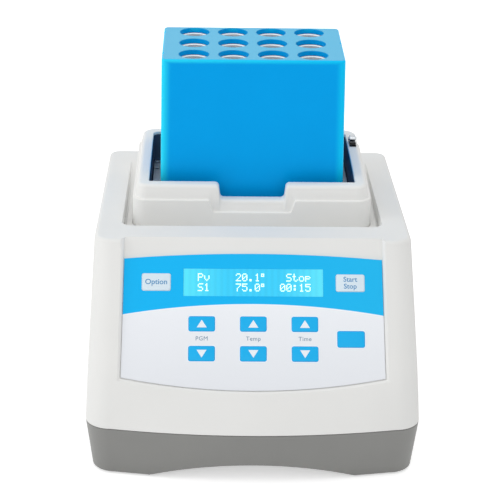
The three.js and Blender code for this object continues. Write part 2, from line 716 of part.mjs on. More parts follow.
function rearPlate() {
  const plate = box(
    -rearPlateWidth / 2, rearPlateWidth / 2, rearY, rearFaceY, rearPlateZ[0], rearPlateZ[1],
  );
  const tools = [
    rearCut(inletX, inletHalf[0] + fit, inletHalf[1] + fuseHeight / 2 + fit, rearMidZ),
    rearCut(switchX, 6.6 + fit, 9.6 + fit),
  ];
  for (let i = 0; i < 6; i++) tools.push(rearCut(-56 + i * 6, 1.5, 14));
  for (const [x, z] of rearScrewSpots()) tools.push(rod(0, 0, -4, 4, 1.8, 12).rotateX(Math.PI / 2).translate(x, rearY, z));
  return cut(plate, tools);
}

function rearScrewSpots() {
  return [-1, 1].flatMap((s) => rearPlateZ.map((z, i) => [s * (rearPlateWidth / 2 - 3.2), z + (i ? -3 : 3)]));
}
put("rear_plate", rearPlate(), paint(0xa7aaad, 0.4, 1));
rearScrewSpots().forEach(([x, z], i) => {
  const head = rod(0, 0, -1.4, -0.05, 2.6, 14);
  const shank = rod(0, 0, -0.5, rearPlateThick + 0.2, 1.4, 10);
  const screw = join(head, [shank]).rotateX(Math.PI / 2);
  put(`rear_screw_${i + 1}`, screw, paint(0xb9bbbe, 0.3, 1)).position.set(x, rearFaceY, z);
});

// Inlet: flange on the plate, body through it, socket hollow open to the back, slot for the drawer.
const socketDepth = 16;
const pinLength = 11;
const inletFlange = 2;
const flangeY = rearFaceY + inletFlange + 0.05;
const drawerHalfW = 11;
const drawerZ = rearMidZ - inletHalf[1] - 0.2;

function inletBody() {
  const hx = inletHalf[0];
  const hz = inletHalf[1] + fuseHeight / 2;
  const body = box(inletX - hx, inletX + hx, flangeY - 24, flangeY - 0.5, rearMidZ - hz, rearMidZ + hz);
  const flange = box(inletX - hx - 2.2, inletX + hx + 2.2, rearFaceY + 0.05, flangeY, rearMidZ - hz - 2.2, rearMidZ + hz + 2.2);
  const socket = [
    [-11.8, -7.8], [11.8, -7.8], [11.8, 3], [7.5, 7.8], [-7.5, 7.8], [-11.8, 3],
  ].map(([x, z]) => [inletX + x, inletZ + z]);
  const hollow = frontPrism(socket, flangeY - socketDepth, flangeY + 2);
  const slot = box(
    inletX - drawerHalfW - fit, inletX + drawerHalfW + fit, flangeY - 20, flangeY + 2,
    drawerZ - fuseHeight / 2 + 1 - fit, drawerZ + fuseHeight / 2 - 1 + fit,
  );
  return cut(join(body, [flange]), [hollow, slot]);
}
put("power_inlet", inletBody(), paint(0x1b1c1e, 0.5));
for (const [name, dx, dz] of [["live", -7, -2], ["neutral", 7, -2], ["earth", 0, 2.6]]) {
  const y0 = flangeY - socketDepth + 0.05;
  const x = inletX + dx;
  const z = inletZ + dz;
  put(`inlet_pin_${name}`, box(x - 1, x + 1, y0, y0 + pinLength, z - 2, z + 2), paint(0xd0c48a, 0.3, 1));
}
function fuseDrawer() {
  const hz = fuseHeight / 2 - 1;
  const body = box(inletX - drawerHalfW, inletX + drawerHalfW, flangeY - 19, flangeY + 0.3, drawerZ - hz, drawerZ + hz);
  const tray = box(
    inletX - drawerHalfW + 1.5, inletX + drawerHalfW - 1.5, flangeY - 17, flangeY - 3, drawerZ - hz + 1.5, drawerZ + hz + 1,
  );
  return cut(body, [tray]);
}
put("fuse_drawer", fuseDrawer(), paint(0x232427, 0.55));

// Rocker switch: frame with a hollow, rocker on its own pivot across the plate.
const rockerHalf = [5, 8];
function switchBody() {
  const body = box(switchX - 6.6, switchX + 6.6, rearFaceY - 16, rearFaceY + 1, rearMidZ - 9.6, rearMidZ + 9.6);
  const flange = box(switchX - 8.2, switchX + 8.2, rearFaceY + 0.05, rearFaceY + 1.6, rearMidZ - 11.4, rearMidZ + 11.4);
  const hollow = box(
    switchX - rockerHalf[0] - fit, switchX + rockerHalf[0] + fit, rearFaceY - 11, rearFaceY + 4,
    rearMidZ - rockerHalf[1] - 0.6, rearMidZ + rockerHalf[1] + 0.6,
  );
  return cut(join(body, [flange]), [hollow]);
}
put("switch_body", switchBody(), paint(0x1b1c1e, 0.5));
// The rocker is a shallow V seen from the side, tipped so that its lower half is pressed in.
const rockerTip = 7;
function rocker() {
  const h = rockerHalf[1];
  const outline = [[1.9, -h], [0.9, 0], [1.9, h], [-2, h - 0.6], [-7, 2.6], [-7, -2.6], [-2, -h + 0.6]];
  return sidePrism(outline, -rockerHalf[0], rockerHalf[0]).rotateX(-rad(rockerTip));
}
put("power_rocker", rocker(), paint(0x17181a, 0.4)).position.set(switchX, rearFaceY, rearMidZ);

// ---- lid hinge hardware at the collar's right rear corner ----
const hingeX = wellHalfWidth + 3.2;
const hingeY = wellY + wellHalfLength - 20;
function hingeBracket() {
  const base = box(-2.2, 2.2, -7, 4, 0.1, 1.1);
  const web = box(-1.9, 1.9, -1.6, 1.6, 0.9, 3);
  const knuckle = rod(0, 0, -1.9, 1.9, 2.3, 20).rotateY(Math.PI / 2).translate(0, 0, 3.3);
  const eye = rod(0, 0, -3, 3, 1.3, 14).rotateY(Math.PI / 2).translate(0, 0, 3.3);
  return cut(join(base, [web, knuckle]), [eye]);
}
put("hinge_bracket", hingeBracket(), paint(0xc3c6c9, 0.25, 1)).position.set(hingeX, hingeY, collarTopZ);
const hingePin = rod(0, 0, -2.8, 2.8, 1.1, 14).rotateY(Math.PI / 2);
put("hinge_pin", hingePin, paint(0xd4d6d8, 0.2, 1)).position.set(hingeX, hingeY, collarTopZ + 3.3);

export default model;
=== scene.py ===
# Dry block heater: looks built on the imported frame. Sizes inside are millimetres, meshes end in metres.
import json
import bpy
import numpy as np
from mathutils import Matrix, Vector


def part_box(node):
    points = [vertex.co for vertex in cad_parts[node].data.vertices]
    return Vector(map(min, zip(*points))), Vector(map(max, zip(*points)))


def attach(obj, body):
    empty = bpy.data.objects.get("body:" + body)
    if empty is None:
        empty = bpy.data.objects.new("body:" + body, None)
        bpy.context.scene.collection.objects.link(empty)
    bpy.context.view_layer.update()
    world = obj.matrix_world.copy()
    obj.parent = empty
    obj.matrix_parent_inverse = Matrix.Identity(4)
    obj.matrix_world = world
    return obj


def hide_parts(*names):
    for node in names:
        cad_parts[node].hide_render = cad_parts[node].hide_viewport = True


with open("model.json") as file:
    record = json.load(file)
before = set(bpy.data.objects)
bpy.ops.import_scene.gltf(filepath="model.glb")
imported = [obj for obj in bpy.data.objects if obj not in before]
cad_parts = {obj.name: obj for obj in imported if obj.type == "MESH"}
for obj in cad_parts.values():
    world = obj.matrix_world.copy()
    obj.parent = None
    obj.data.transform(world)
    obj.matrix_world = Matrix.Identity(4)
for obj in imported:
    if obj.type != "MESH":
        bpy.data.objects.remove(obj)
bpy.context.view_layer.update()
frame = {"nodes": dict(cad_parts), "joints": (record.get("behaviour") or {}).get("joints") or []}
print("frame loaded")


def hexToLinear(code):
    # sRGB hex to linear rgba
    c = np.array([int(code[i:i + 2], 16) for i in (1, 3, 5)]) / 255
    lin = np.where(c <= 0.04045, c / 12.92, ((c + 0.055) / 1.055) ** 2.4)
    return (float(lin[0]), float(lin[1]), float(lin[2]), 1.0)


rgba = {"data_type": "RGBA"}


def addNode(tree, kind, settings=None, links=None):
    # one shader node with its settings; links maps an input to a value, a hex tone, another node or its output
    node = tree.nodes.new("ShaderNode" + kind)
    for key, value in (settings or {}).items():
        setattr(node, key, value)
    for key, value in (links or {}).items():
        value = value.outputs[0] if isinstance(value, bpy.types.Node) else value
        value = hexToLinear(value) if isinstance(value, str) else value
        if isinstance(value, bpy.types.NodeSocket):
            tree.links.new(value, node.inputs[key])
        else:
            node.inputs[key].default_value = value
    return node


def boxOf(node):
    # a CAD node's box in mm
    lo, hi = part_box(node)
    return np.array(lo) * 1000, np.array(hi) * 1000


def meshFrom(name, points, faces):
    mesh = bpy.data.meshes.new(name)
    mesh.from_pydata((np.asarray(points, dtype=float) / 1000).tolist(), [], faces)
    mesh.validate()
    mesh.update()
    return mesh


def gridFaces(rows, cols):
    # quads between neighbouring rows of a grid whose columns close on themselves
    r, c = np.meshgrid(np.arange(rows - 1), np.arange(cols), indexing="ij")
    d = (c + 1) % cols
    return np.stack([r * cols + c, r * cols + d, (r + 1) * cols + d, (r + 1) * cols + c], -1).reshape(-1, 4).tolist()


def loftMesh(name, rings):
    # closed skin through stacked rings (rows, cols, 3), counter-clockwise seen from the end they rise to
    rows, cols = rings.shape[:2]
    last = (rows - 1) * cols
    faces = gridFaces(rows, cols) + [list(range(cols))[::-1], list(range(last, last + cols))]
    return meshFrom(name, rings.reshape(-1, 3), faces)


def ringMesh(name, rings):
    # like loftMesh, but the last row joins the first, so the section closes on itself
    rows, cols = rings.shape[:2]
    faces = np.array(gridFaces(rows + 1, cols)) % (rows * cols)
    return meshFrom(name, rings.reshape(-1, 3), faces.tolist())


def roundRect(x0, x1, y0, y1, r, arcSteps=8, sideSteps=1):
    # outline of a rectangle with round corners: four quarter circles joined by straight runs
    a = np.radians(np.linspace(0, 90, arcSteps + 1))
    parts = []
    corners = ((x1 - r, y0 + r, -90), (x1 - r, y1 - r, 0), (x0 + r, y1 - r, 90), (x0 + r, y0 + r, 180))
    for cx, cy, start in corners:
        b = a + np.radians(start)
        parts.append(np.stack([cx + r * np.cos(b), cy + r * np.sin(b)], -1))
    if sideSteps > 1:
        full = []
        for i, part in enumerate(parts):
            end, nxt = part[-1], parts[(i + 1) % 4][0]
            t = np.linspace(0, 1, sideSteps + 1)[1:-1, None]
            full += [part, end + (nxt - end) * t]
        parts = full
    return np.concatenate(parts)


def levelRing(outline, z):
    return np.column_stack([outline, np.full(len(outline), z)])


def prismMesh(name, outline, z0, z1):
    # flat outline carried straight up
    return loftMesh(name, np.stack([levelRing(outline, z) for z in (z0, z1)]))


def joined(name, meshes):
    # several closed meshes as one
    points, faces, first = [], [], 0
    for m in meshes:
        co = np.empty(len(m.vertices) * 3)
        corners = np.empty(len(m.loops), dtype=np.int32)
        starts = np.empty(len(m.polygons), dtype=np.int32)
        m.vertices.foreach_get("co", co)
        m.loops.foreach_get("vertex_index", corners)
        m.polygons.foreach_get("loop_start", starts)
        points.append(co.reshape(-1, 3) * 1000)
        faces += [face.tolist() for face in np.split(corners + first, starts[1:])]
        first += len(m.vertices)
    return meshFrom(name, np.concatenate(points), faces)


def turned(mesh, matrix):
    # the mesh moved by the matrix, its faces still outwards after a mirror
    mesh.transform(matrix)
    if matrix.to_3x3().determinant() < 0:
        mesh.flip_normals()
    return mesh


def boxMesh(name, x0, x1, y0, y1, z0, z1):
    return prismMesh(name, np.array([[x0, y0], [x1, y0], [x1, y1], [x0, y1]]), z0, z1)


def newObject(name, data):
    obj = bpy.data.objects.new(name, data)
    bpy.context.scene.collection.objects.link(obj)
    return obj


def carved(mesh, tools):
    # mesh less each tool in turn
    obj = newObject("work", mesh)
    helpers = [newObject("tool", tool) for tool in tools]
    for helper in helpers:
        mod = obj.modifiers.new("cut", "BOOLEAN")
        mod.operation, mod.solver, mod.object = "DIFFERENCE", "EXACT", helper
    graph = bpy.context.evaluated_depsgraph_get()
    done = bpy.data.meshes.new_from_object(obj.evaluated_get(graph))
    for o in [obj, *helpers]:
        bpy.data.objects.remove(o)
    return done


def softenEdges(obj, width, segments=3, angle=28, weld=False):
    # rounds what is sharper than the angle; width in mm
    if weld:
        w = obj.modifiers.new("weld", "WELD")
        w.merge_threshold = 1e-6
    b = obj.modifiers.new("bevel", "BEVEL")
    b.width, b.segments, b.limit_method = width / 1000, segments, "ANGLE"
    b.angle_limit, b.use_clamp_overlap, b.miter_outer = np.radians(angle), False, "MITER_ARC"
    b.harden_normals = False
    evenNormals(obj)


def evenNormals(obj):
    # large flat faces keep their own direction next to small rounded ones
    n = obj.modifiers.new("normals", "WEIGHTED_NORMAL")
    n.keep_sharp = True


def makePiece(name, mesh, material, body, stands=(), sharpFrom=32):
    mesh.name = name
    obj = newObject(name, mesh)
    mesh.polygons.foreach_set("use_smooth", [True] * len(mesh.polygons))
    mesh.set_sharp_from_angle(angle=np.radians(sharpFrom))
    mesh.materials.clear()
    mesh.materials.append(material)
    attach(obj, body)
    if stands:
        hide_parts(*stands)
    return obj


def emptyTree(owner):
    owner.use_nodes = True
    owner.node_tree.nodes.clear()
    return owner.node_tree


def baseMaterial(name, bsdf):
    # a Principled material; returns the tree, the shader and Object coordinates in mm
    mat = bpy.data.materials.new(name)
    tree = emptyTree(mat)
    shader = addNode(tree, "BsdfPrincipled", None, bsdf)
    addNode(tree, "OutputMaterial", None, {"Surface": shader})
    coord = addNode(tree, "TexCoord")
    mm = addNode(tree, "Mapping", None, {"Vector": coord.outputs["Object"], "Scale": (1000, 1000, 1000)})
    return mat, tree, shader, mm


def grainAndTone(tree, shader, mm, spec):
    # fine grain as bump, slow drift of tone and roughness; sizes in mm
    grain = addNode(tree, "TexNoise", None, {"Vector": mm, "Scale": 1 / spec["grain"], "Detail": 3})
    bump = addNode(tree, "Bump", None, {"Height": grain, "Strength": spec["bump"], "Distance": 0.0001})
    tree.links.new(bump.outputs[0], shader.inputs["Normal"])
    drift = addNode(tree, "TexNoise", None, {"Vector": mm, "Scale": 1 / spec["drift"], "Detail": 2})
    tone = addNode(tree, "Mix", rgba, {0: drift, 6: spec["colour"], 7: spec["other"]})
    tree.links.new(tone.outputs[2], shader.inputs["Base Color"])
    rough = addNode(tree, "MapRange", None, {"Value": drift, "To Min": spec["rough"][0], "To Max": spec["rough"][1]})
    tree.links.new(rough.outputs[0], shader.inputs["Roughness"])
    return tone


def finish(colour, other, grain, bump, drift, roughLow, roughHigh, **more):
    # two tones, sizes of the grain and of the drift in mm, strength of the bump, range of roughness
    return {"colour": colour, "other": other, "grain": grain, "bump": bump, "drift": drift,
            "rough": (roughLow, roughHigh), **more}


def plasticMaterial(name, spec):
    mat, tree, shader, mm = baseMaterial(name, {
        "IOR": spec.get("ior", 1.5), "Specular IOR Level": spec.get("gloss", 0.5)})
    grainAndTone(tree, shader, mm, spec)
    return mat


def metalMaterial(name, spec):
    # brushed or machined metal: streaks run along one axis
    mat, tree, shader, mm = baseMaterial(name, {"Metallic": spec.get("metallic", 1.0)})
    tone = grainAndTone(tree, shader, mm, spec)
    stretch = addNode(tree, "Mapping", None, {"Vector": mm, "Scale": spec.get("streak", (0.05, 4, 4))})
    line = addNode(tree, "TexNoise", None, {"Vector": stretch, "Scale": 1.0, "Detail": 2})
    mixed = addNode(tree, "Mix", {"data_type": "RGBA", "blend_type": "MULTIPLY"}, {
        0: spec.get("streakAmount", 0.25), 6: tone.outputs[2], 7: line.outputs[1]})
    tree.links.new(mixed.outputs[2], shader.inputs["Base Color"])
    return mat


# moulded ABS, spark-eroded satin grain: soft broad highlights, no sparkle
housingAbs = plasticMaterial("housingAbs", finish("#E9E9E7", "#E4E4E2", 0.5, 0.12, 40, 0.6, 0.68, gloss=0.2))
# the collar's moulding in the same plastic, its tone raised a touch as painted light so the collar reads lighter
collarAbsPaintedLight = plasticMaterial("collarAbsPaintedLight", finish("#ECECEA", "#E7E7E5", 0.5, 0.12, 40, 0.58, 0.66, gloss=0.22))
# the same plastic in mid grey, a little rougher
baseAbs = plasticMaterial("baseAbs", finish("#888885", "#828280", 0.5, 0.2, 35, 0.42, 0.5))
# black moulded plastic of switch, inlet and drawer
blackPlastic = plasticMaterial("blackPlastic", finish("#1C1D1F", "#202123", 0.4, 0.2, 12, 0.4, 0.5))
# vulcanised rubber, matt
footRubber = plasticMaterial("footRubber", finish("#2A2B2D", "#232426", 0.8, 0.4, 8, 0.75, 0.85))
# sheet steel with dark blue-grey stove enamel, faint orange peel
linerEnamel = plasticMaterial("linerEnamel", finish("#50617A", "#475569", 2.5, 0.15, 25, 0.4, 0.5))
# aluminium milled and then bead blasted
plateAluminium = metalMaterial("plateAluminium", finish("#DCEBF6", "#CFDEE9", 0.5, 0.3, 20, 0.45, 0.55))
# aluminium block, bored, faced and clear anodised: bright, fine turning under a whitish film
blockAluminium = metalMaterial("blockAluminium", finish(
    "#F4F5F6", "#EDEEF0", 0.8, 0.08, 10, 0.38, 0.46, streak=(0.5, 0.5, 6), streakAmount=0.08, metallic=0.6))
# zinc-plated steel of screws and tray
zincSteel = metalMaterial("zincSteel", finish("#C5C8CB", "#B9BCBF", 0.6, 0.1, 6, 0.26, 0.36))
# polished stainless steel of the lid hinge
hingeSteel = metalMaterial("hingeSteel", finish("#D8DADC", "#CDD0D3", 0.6, 0.05, 5, 0.12, 0.2))


def hingeMaterial(spec):
    # steel with a painted shadow: below a level its colour is near black, standing for the shade under the knuckle;
    # the knuckle above it is polished
    mat, tree, shader, mm = baseMaterial("hingePaintedShadow", {"Metallic": 1.0})
    tone = grainAndTone(tree, shader, mm, spec)
    axes = addNode(tree, "SeparateXYZ", None, {0: mm})
    above = addNode(tree, "MapRange", None, {
        "Value": axes.outputs[2], "From Min": spec["level"] - 0.1, "From Max": spec["level"] + 0.1})
    # painted shadow below the level
    mixed = addNode(tree, "Mix", rgba, {0: above, 6: spec["foot"], 7: tone.outputs[2]})
    tree.links.new(mixed.outputs[2], shader.inputs["Base Color"])
    return mat


# steel of the hinge bracket, its foot painted near black as shadow
hingePaintedShadow = hingeMaterial(finish("#CACED2", "#BEC2C6", 0.6, 0.05, 5, 0.16, 0.24, foot="#0B0C0E", level=141.2))
# anodised aluminium sheet, brushed along X
rearSheet = metalMaterial("rearSheet", finish("#B9BCBF", "#B0B3B6", 0.4, 0.12, 25, 0.34, 0.42))
# plated brass blades
bladeBrass = metalMaterial("bladeBrass", finish("#D8C98A", "#CDBD7C", 0.5, 0.05, 4, 0.2, 0.28))
# glass-fibre board under green solder resist, semi-gloss
boardResist = plasticMaterial("boardResist", finish("#1E6B3B", "#195D33", 0.7, 0.1, 9, 0.28, 0.4))
# brown mica paper of the heater
heaterMica = plasticMaterial("heaterMica", finish("#A8652F", "#8C5226", 1.5, 0.2, 6, 0.55, 0.7))
# pressed mineral fibre
fibrePad = plasticMaterial("fibrePad", finish("#E6DFCE", "#D8D0BD", 0.9, 0.8, 7, 0.9, 0.98))
# varnished iron laminations
coreIron = plasticMaterial("coreIron", finish("#4A4540", "#3C3834", 0.8, 0.5, 6, 0.45, 0.6))
# grey PVC flat cable
ribbonPvc = plasticMaterial("ribbonPvc", finish("#B9BCC0", "#ADB0B4", 0.6, 0.1, 8, 0.4, 0.5))
# polyester key skin, embossed and printed from behind
keyBlue = plasticMaterial("keyBlue", finish("#18B6F4", "#15B0EE", 0.7, 0.06, 9, 0.3, 0.38, gloss=0.2))
# the same skin printed pale
keyPale = plasticMaterial("keyPale", finish("#DDECF6", "#D7E7F1", 0.7, 0.06, 9, 0.3, 0.38, gloss=0.3))
# raised bead of clear polyester round each key, white behind
keyRim = plasticMaterial("keyRim", finish("#F3FAFF", "#EDF6FD", 0.7, 0.04, 7, 0.25, 0.33))
# screen-printed inks: blue on the pale keys, slate under the blue keys, white on them
inkBlue = plasticMaterial("inkBlue", finish("#3F8CC2", "#3A85B9", 0.5, 0.02, 3, 0.4, 0.5))
inkSlate = plasticMaterial("inkSlate", finish("#6F8FA8", "#68879F", 0.5, 0.02, 3, 0.4, 0.5))
inkWhite = plasticMaterial("inkWhite", finish("#EEF4FA", "#E8EFF6", 0.5, 0.02, 3, 0.4, 0.5))
print("plain materials ready")

# the panel's own plane: origin on the display, X across, the slope up it, the normal out of it
keyAxis = next(j["axis"] for j in frame["joints"] if j["name"].startswith("key_"))
normal = -np.array(keyAxis) / np.linalg.norm(keyAxis)
slope = np.array([0, normal[2], -normal[1]])
lcdLo, lcdHi = boxOf("lcd_window")
panelOrigin = (lcdLo + lcdHi) / 2 + normal * 0.55
panelMatrix = Matrix((
    (1, 0, 0, 0),
    (0, slope[1], normal[1], panelOrigin[1] / 1000),
    (0, slope[2], normal[2], panelOrigin[2] / 1000),
    (0, 0, 0, 1)))
panelAngle = float(np.arctan2(slope[2], slope[1]))
panel = {
    "halfTop": 75.7, "halfBottom": 76.4, "topSide": 14.2, "topMid": 17.5, "bottomSide": 57.0, "bottomMid": 64.5,
    "thick": 0.5, "fit": 0.3, "backing": 2.8, "edge": 2.2, "shoulder": 26.0, "bandSide": -19.6, "bandMid": -13.0,
    "bandLine": 0.55}


def onPanel(mesh):
    return turned(mesh, panelMatrix)


def pocketOutline(grow, topS, steps=40, sideSteps=16):
    # bottom edge sags by one minus u squared; the sides run on straight up to topS
    u = np.linspace(-1, 1, steps + 1)
    low = np.column_stack([
        u * (panel["halfBottom"] + grow),
        -panel["bottomSide"] - (panel["bottomMid"] - panel["bottomSide"]) * (1 - u * u) - grow])
    lean = (panel["halfTop"] - panel["halfBottom"]) / (panel["topSide"] + panel["bottomSide"])
    t = np.linspace(0, 1, sideSteps + 1)[1:]
    end = panel["halfBottom"] + grow + lean * (topS - low[-1, 1])
    side = np.column_stack([
        panel["halfBottom"] + grow + (end - panel["halfBottom"] - grow) * t, low[-1, 1] + (topS - low[-1, 1]) * t])
    return np.concatenate([low, side, (side * (-1, 1))[::-1]])


upperLo, upperHi = boxOf("upper_housing")
collarLo, collarHi = boxOf("well_collar")
body = {
    "halfW": upperHi[0], "front": upperLo[1], "back": upperHi[1], "seam": upperLo[2], "topZ": 122.0, "topFall": 3.25,
    "frontCorner": 15.0, "backCorner": 10.0, "topCorner": 12.0, "insideCorners": (20.0, 8.0), "sideDraft": 2.9,
    "bow": 7.6, "bowLeft": 0.8, "bowFade": 27.0, "frontSteps": 38, "round": 2.8, "faceAngle": 52.2, "wall": 3.0,
    "seamSoft": 0.35}
shoulderY = panelOrigin[1] + (body["topZ"] - panelOrigin[2]) / np.tan(panelAngle)
wellY = (collarLo[1] + collarHi[1]) / 2


def topAt(y):
    # height of the top face, which falls evenly to the rear
    return body["topZ"] - np.tan(np.radians(body["topFall"])) * (y - shoulderY)


def faceY(z):
    # the sloping front face at height z
    return body["front"] + (z - body["seam"]) / np.tan(np.radians(body["faceAngle"]))


def bowAt(z):
    # the front's bow dies away with height above the seam, as one minus the share to the power 1.5
    u = np.clip((z - body["seam"]) / body["bowFade"], 0, 1)
    return body["bowLeft"] + (body["bow"] - body["bowLeft"]) * (1 - u) ** 1.5


def bodyRing(w, yf, yb, rf, rb, bow, zAt, arcSteps=12):
    # rounded rectangle whose front bows forward by the square of the share of its half-width
    a = np.linspace(0, 90, arcSteps + 1)

    def arc(cx, cy, r, start):
        b = np.radians(a + start)
        return np.stack([cx + r * np.cos(b), cy + r * np.sin(b)], -1)

    def run(p, q, n):
        t = np.linspace(0, 1, n + 2)[1:-1, None]
        return np.array(p) + (np.array(q) - np.array(p)) * t

    pts = np.concatenate([
        run((-(w - rf), yf), (w - rf, yf), body["frontSteps"]),
        arc(w - rf, yf + rf, rf, -90), run((w, yf + rf), (w, yb - rb), 10),
        arc(w - rb, yb - rb, rb, 0), run((w - rb, yb), (-(w - rb), yb), 6),
        arc(-(w - rb), yb - rb, rb, 90), run((-w, yb - rb), (-w, yf + rf), 10),
        arc(-(w - rf), yf + rf, rf, 180)])
    u = np.minimum(1, np.abs(pts[:, 0]) / (w - rf))
    share = np.clip((yb - pts[:, 1]) / (yb - yf), 0, 1)
    y = pts[:, 1] + bow * u * u * share
    return np.column_stack([pts[:, 0], y, zAt(y)])


def upperOuter():
    # rings from the seam up: a small round, sides that lean in with the height, a quarter round at the top
    rings = []
    topFront = topAt(faceY(body["topZ"])) - body["round"]
    soft = body["seamSoft"]
    for a in np.radians([0, 30, 60]):
        inset, rise = soft * (1 - np.sin(a)), soft * (1 - np.cos(a))
        rings.append(bodyRing(
            body["halfW"] - inset, faceY(body["seam"]) + inset, body["back"] - inset, body["frontCorner"] - inset,
            body["backCorner"] - inset, bowAt(body["seam"]), lambda y, h=rise: np.full_like(y, body["seam"] + h)))
    shares = [[soft / (topFront - body["seam"])], np.linspace(0.02, 0.3, 15), np.linspace(0.36, 1, 10)]
    for t in np.concatenate(shares):
        z = body["seam"] + t * (topFront - body["seam"])
        lean = body["sideDraft"] * t
        rf = body["frontCorner"] + t * (body["topCorner"] - body["frontCorner"])
        rb = body["backCorner"] - t * 3
        rings.append(bodyRing(
            body["halfW"] - lean, faceY(z), body["back"] - lean, rf, rb, bowAt(z),
            lambda y, t=t: body["seam"] + t * (topAt(y) - body["round"] - body["seam"])))
    for a in np.radians([15, 30, 45, 60, 75, 90]):
        inset = body["round"] * (1 - np.cos(a))
        drop = body["round"] * (1 - np.sin(a))
        yf = faceY(topFront + (body["round"] - drop) * 0.55) + inset * 0.9
        w = body["halfW"] - body["sideDraft"] - inset
        rings.append(bodyRing(
            w, yf, body["back"] - body["sideDraft"] - inset, body["topCorner"] - inset,
            body["backCorner"] - 3 - inset, bowAt(body["topZ"]), lambda y, d=drop: topAt(y) - d))
    return np.stack(rings)


def upperHollow():
    # the inside: the outer sides moved in by the wall, its front parallel to the panel
    cot = 1 / np.tan(panelAngle)
    back = (panel["thick"] + panel["fit"] + panel["backing"]) / np.sin(panelAngle)
    rings = []
    for t in (-0.02, 0.12, 0.28, 1):
        z = body["seam"] + t * (body["topZ"] - body["wall"] - body["seam"])
        lean = body["sideDraft"] * t + body["wall"]
        yf = panelOrigin[1] + (z - panelOrigin[2]) * cot + back + 0.2
        rings.append(bodyRing(
            body["halfW"] - lean, yf, body["back"] - lean, *body["insideCorners"], max(0, bowAt(z) - body["bowLeft"]),
            lambda y, t=t: body["seam"] + t * (np.minimum(topAt(y), recess["floor"]) - body["wall"] - body["seam"])))
    return loftMesh("hollow", np.stack(rings))


recess = {
    "floor": 113.3, "front": 15.0, "side": 5.8, "back": 10.0, "corner": 7.0, "lean": 0.9, "edge": 0.5, "lip": 0.25,
    "grooveInset": 2.3, "grooveDepth": 1.6, "grooveFade": 5.0}


def recessTool():
    # a level floor, a shadow groove round it, walls that lean in a little, and a round at the lip;
    # it runs out where the top comes down to it
    hw, r = collarHi[0] + recess["side"], recess["corner"]
    y0, y1 = collarLo[1] - recess["front"], collarHi[1] + recess["back"]
    edge, lip, groove = recess["edge"], recess["lip"], -recess["grooveInset"]

    def ring(grow, lift):
        o = roundRect(-hw - grow, hw + grow, y0 - grow, y1 + grow, r + grow, 8, 12)
        z = np.full(len(o), recess["floor"]) if lift is None else np.maximum(
            topAt(o[:, 1]) + lift, recess["floor"] + 0.02 * (1 + grow))
        return np.column_stack([o, z])

    rings = [ring(groove, None), ring(groove, None), ring(-recess["lean"], None), ring(-lip, -edge)]
    share = np.clip((topAt(rings[0][:, 1]) - recess["floor"]) / recess["grooveFade"], 0, 1)
    deep = share * recess["grooveDepth"]
    rings[1][:, 2] -= deep
    rings[2][:, 2] -= deep
    for a in np.radians([20, 40, 60, 80]):
        rings.append(ring(-lip + edge * (1 - np.cos(a)), -edge * (1 - np.sin(a))))
    rings += [ring(edge, lip), ring(edge, 9)]
    return loftMesh("recess", np.stack(rings))


def skinHeight(rings, x, s):
    # outer skin over the panel plane: each ring is crossed at x, then the height is read between rings at s
    front = rings[:, :body["frontSteps"]]
    cross = np.stack([[np.interp(x, ring[:, 0], ring[:, k]) for k in (1, 2)] for ring in front])
    dy, dz = cross[:, 0] - panelOrigin[1], cross[:, 1] - panelOrigin[2]
    up, out = dy * slope[1] + dz * slope[2], dy * normal[1] + dz * normal[2]
    k = np.clip((up < s).sum(axis=0), 1, len(up) - 1)[None]
    s0, s1 = np.take_along_axis(up, k - 1, 0)[0], np.take_along_axis(up, k, 0)[0]
    w0, w1 = np.take_along_axis(out, k - 1, 0)[0], np.take_along_axis(out, k, 0)[0]
    return w0 + (w1 - w0) * np.clip((s - s0) / (s1 - s0), 0, 1)


def pocketTool(skinRings):
    # the overlay's seat: walls straight down to its floor, and a round where they meet the outer skin
    r, top = panel["edge"], panel["topSide"] + 40
    flat = pocketOutline(panel["fit"] + r, top)
    skinW = skinHeight(skinRings, flat[:, 0], np.minimum(flat[:, 1], panel["shoulder"]))
    depth = -panel["thick"] - panel["fit"]
    rows = [(0, None), (0, -r)] + [(r * (1 - np.cos(a)), -r + r * np.sin(a)) for a in np.radians([20, 40, 60, 75])]
    past = r * 0.74 + 0.5
    rows += [(past, 0.13), (past, 30)]
    rings = []
    for grow, lift in rows:
        o = pocketOutline(panel["fit"] + grow, top)
        w = np.full(len(o), depth) if lift is None else np.maximum(skinW + lift, depth + 0.02)
        rings.append(np.column_stack([o, w]))
    return onPanel(loftMesh("pocket", np.stack(rings)))


windows = {
    "panel": (-69.5, 69.5, -53.4, 11.0, 1.2), "panelDepth": 11.0, "collarCorner": 9.0, "rearInset": (6.0, 5.0),
    "rearDepth": 14.0}


def upperHousing():
    # the outer skin less the inside, the panel's seat and window, the recess, the collar's hole and the rear pocket
    skinRings = upperOuter()
    skin = loftMesh("upper", skinRings)
    pocket = pocketTool(skinRings)
    opening = onPanel(prismMesh("opening", roundRect(*windows["panel"]), -windows["panelDepth"], 0))
    g = panel["fit"]
    hole = prismMesh("hole", roundRect(
        collarLo[0] - g, collarHi[0] + g, collarLo[1] - g, collarHi[1] + g, windows["collarCorner"]), 90, 130)
    lo, hi = boxOf("rear_plate")
    rear = boxMesh("rear", lo[0] - g, hi[0] + g, lo[1] - g, hi[1] + 20, lo[2] - g, hi[2] + g)
    inX, inZ = windows["rearInset"]
    rearHole = boxMesh(
        "rearHole", lo[0] + inX, hi[0] - inX, lo[1] - windows["rearDepth"], hi[1] + 20, lo[2] + inZ, hi[2] - inZ)
    return carved(skin, [upperHollow(), pocket, opening, recessTool(), hole, rear, rearHole])


upper = makePiece("upperHousing", upperHousing(), housingAbs, "body", ["upper_housing"])
evenNormals(upper)
print("upper housing built")

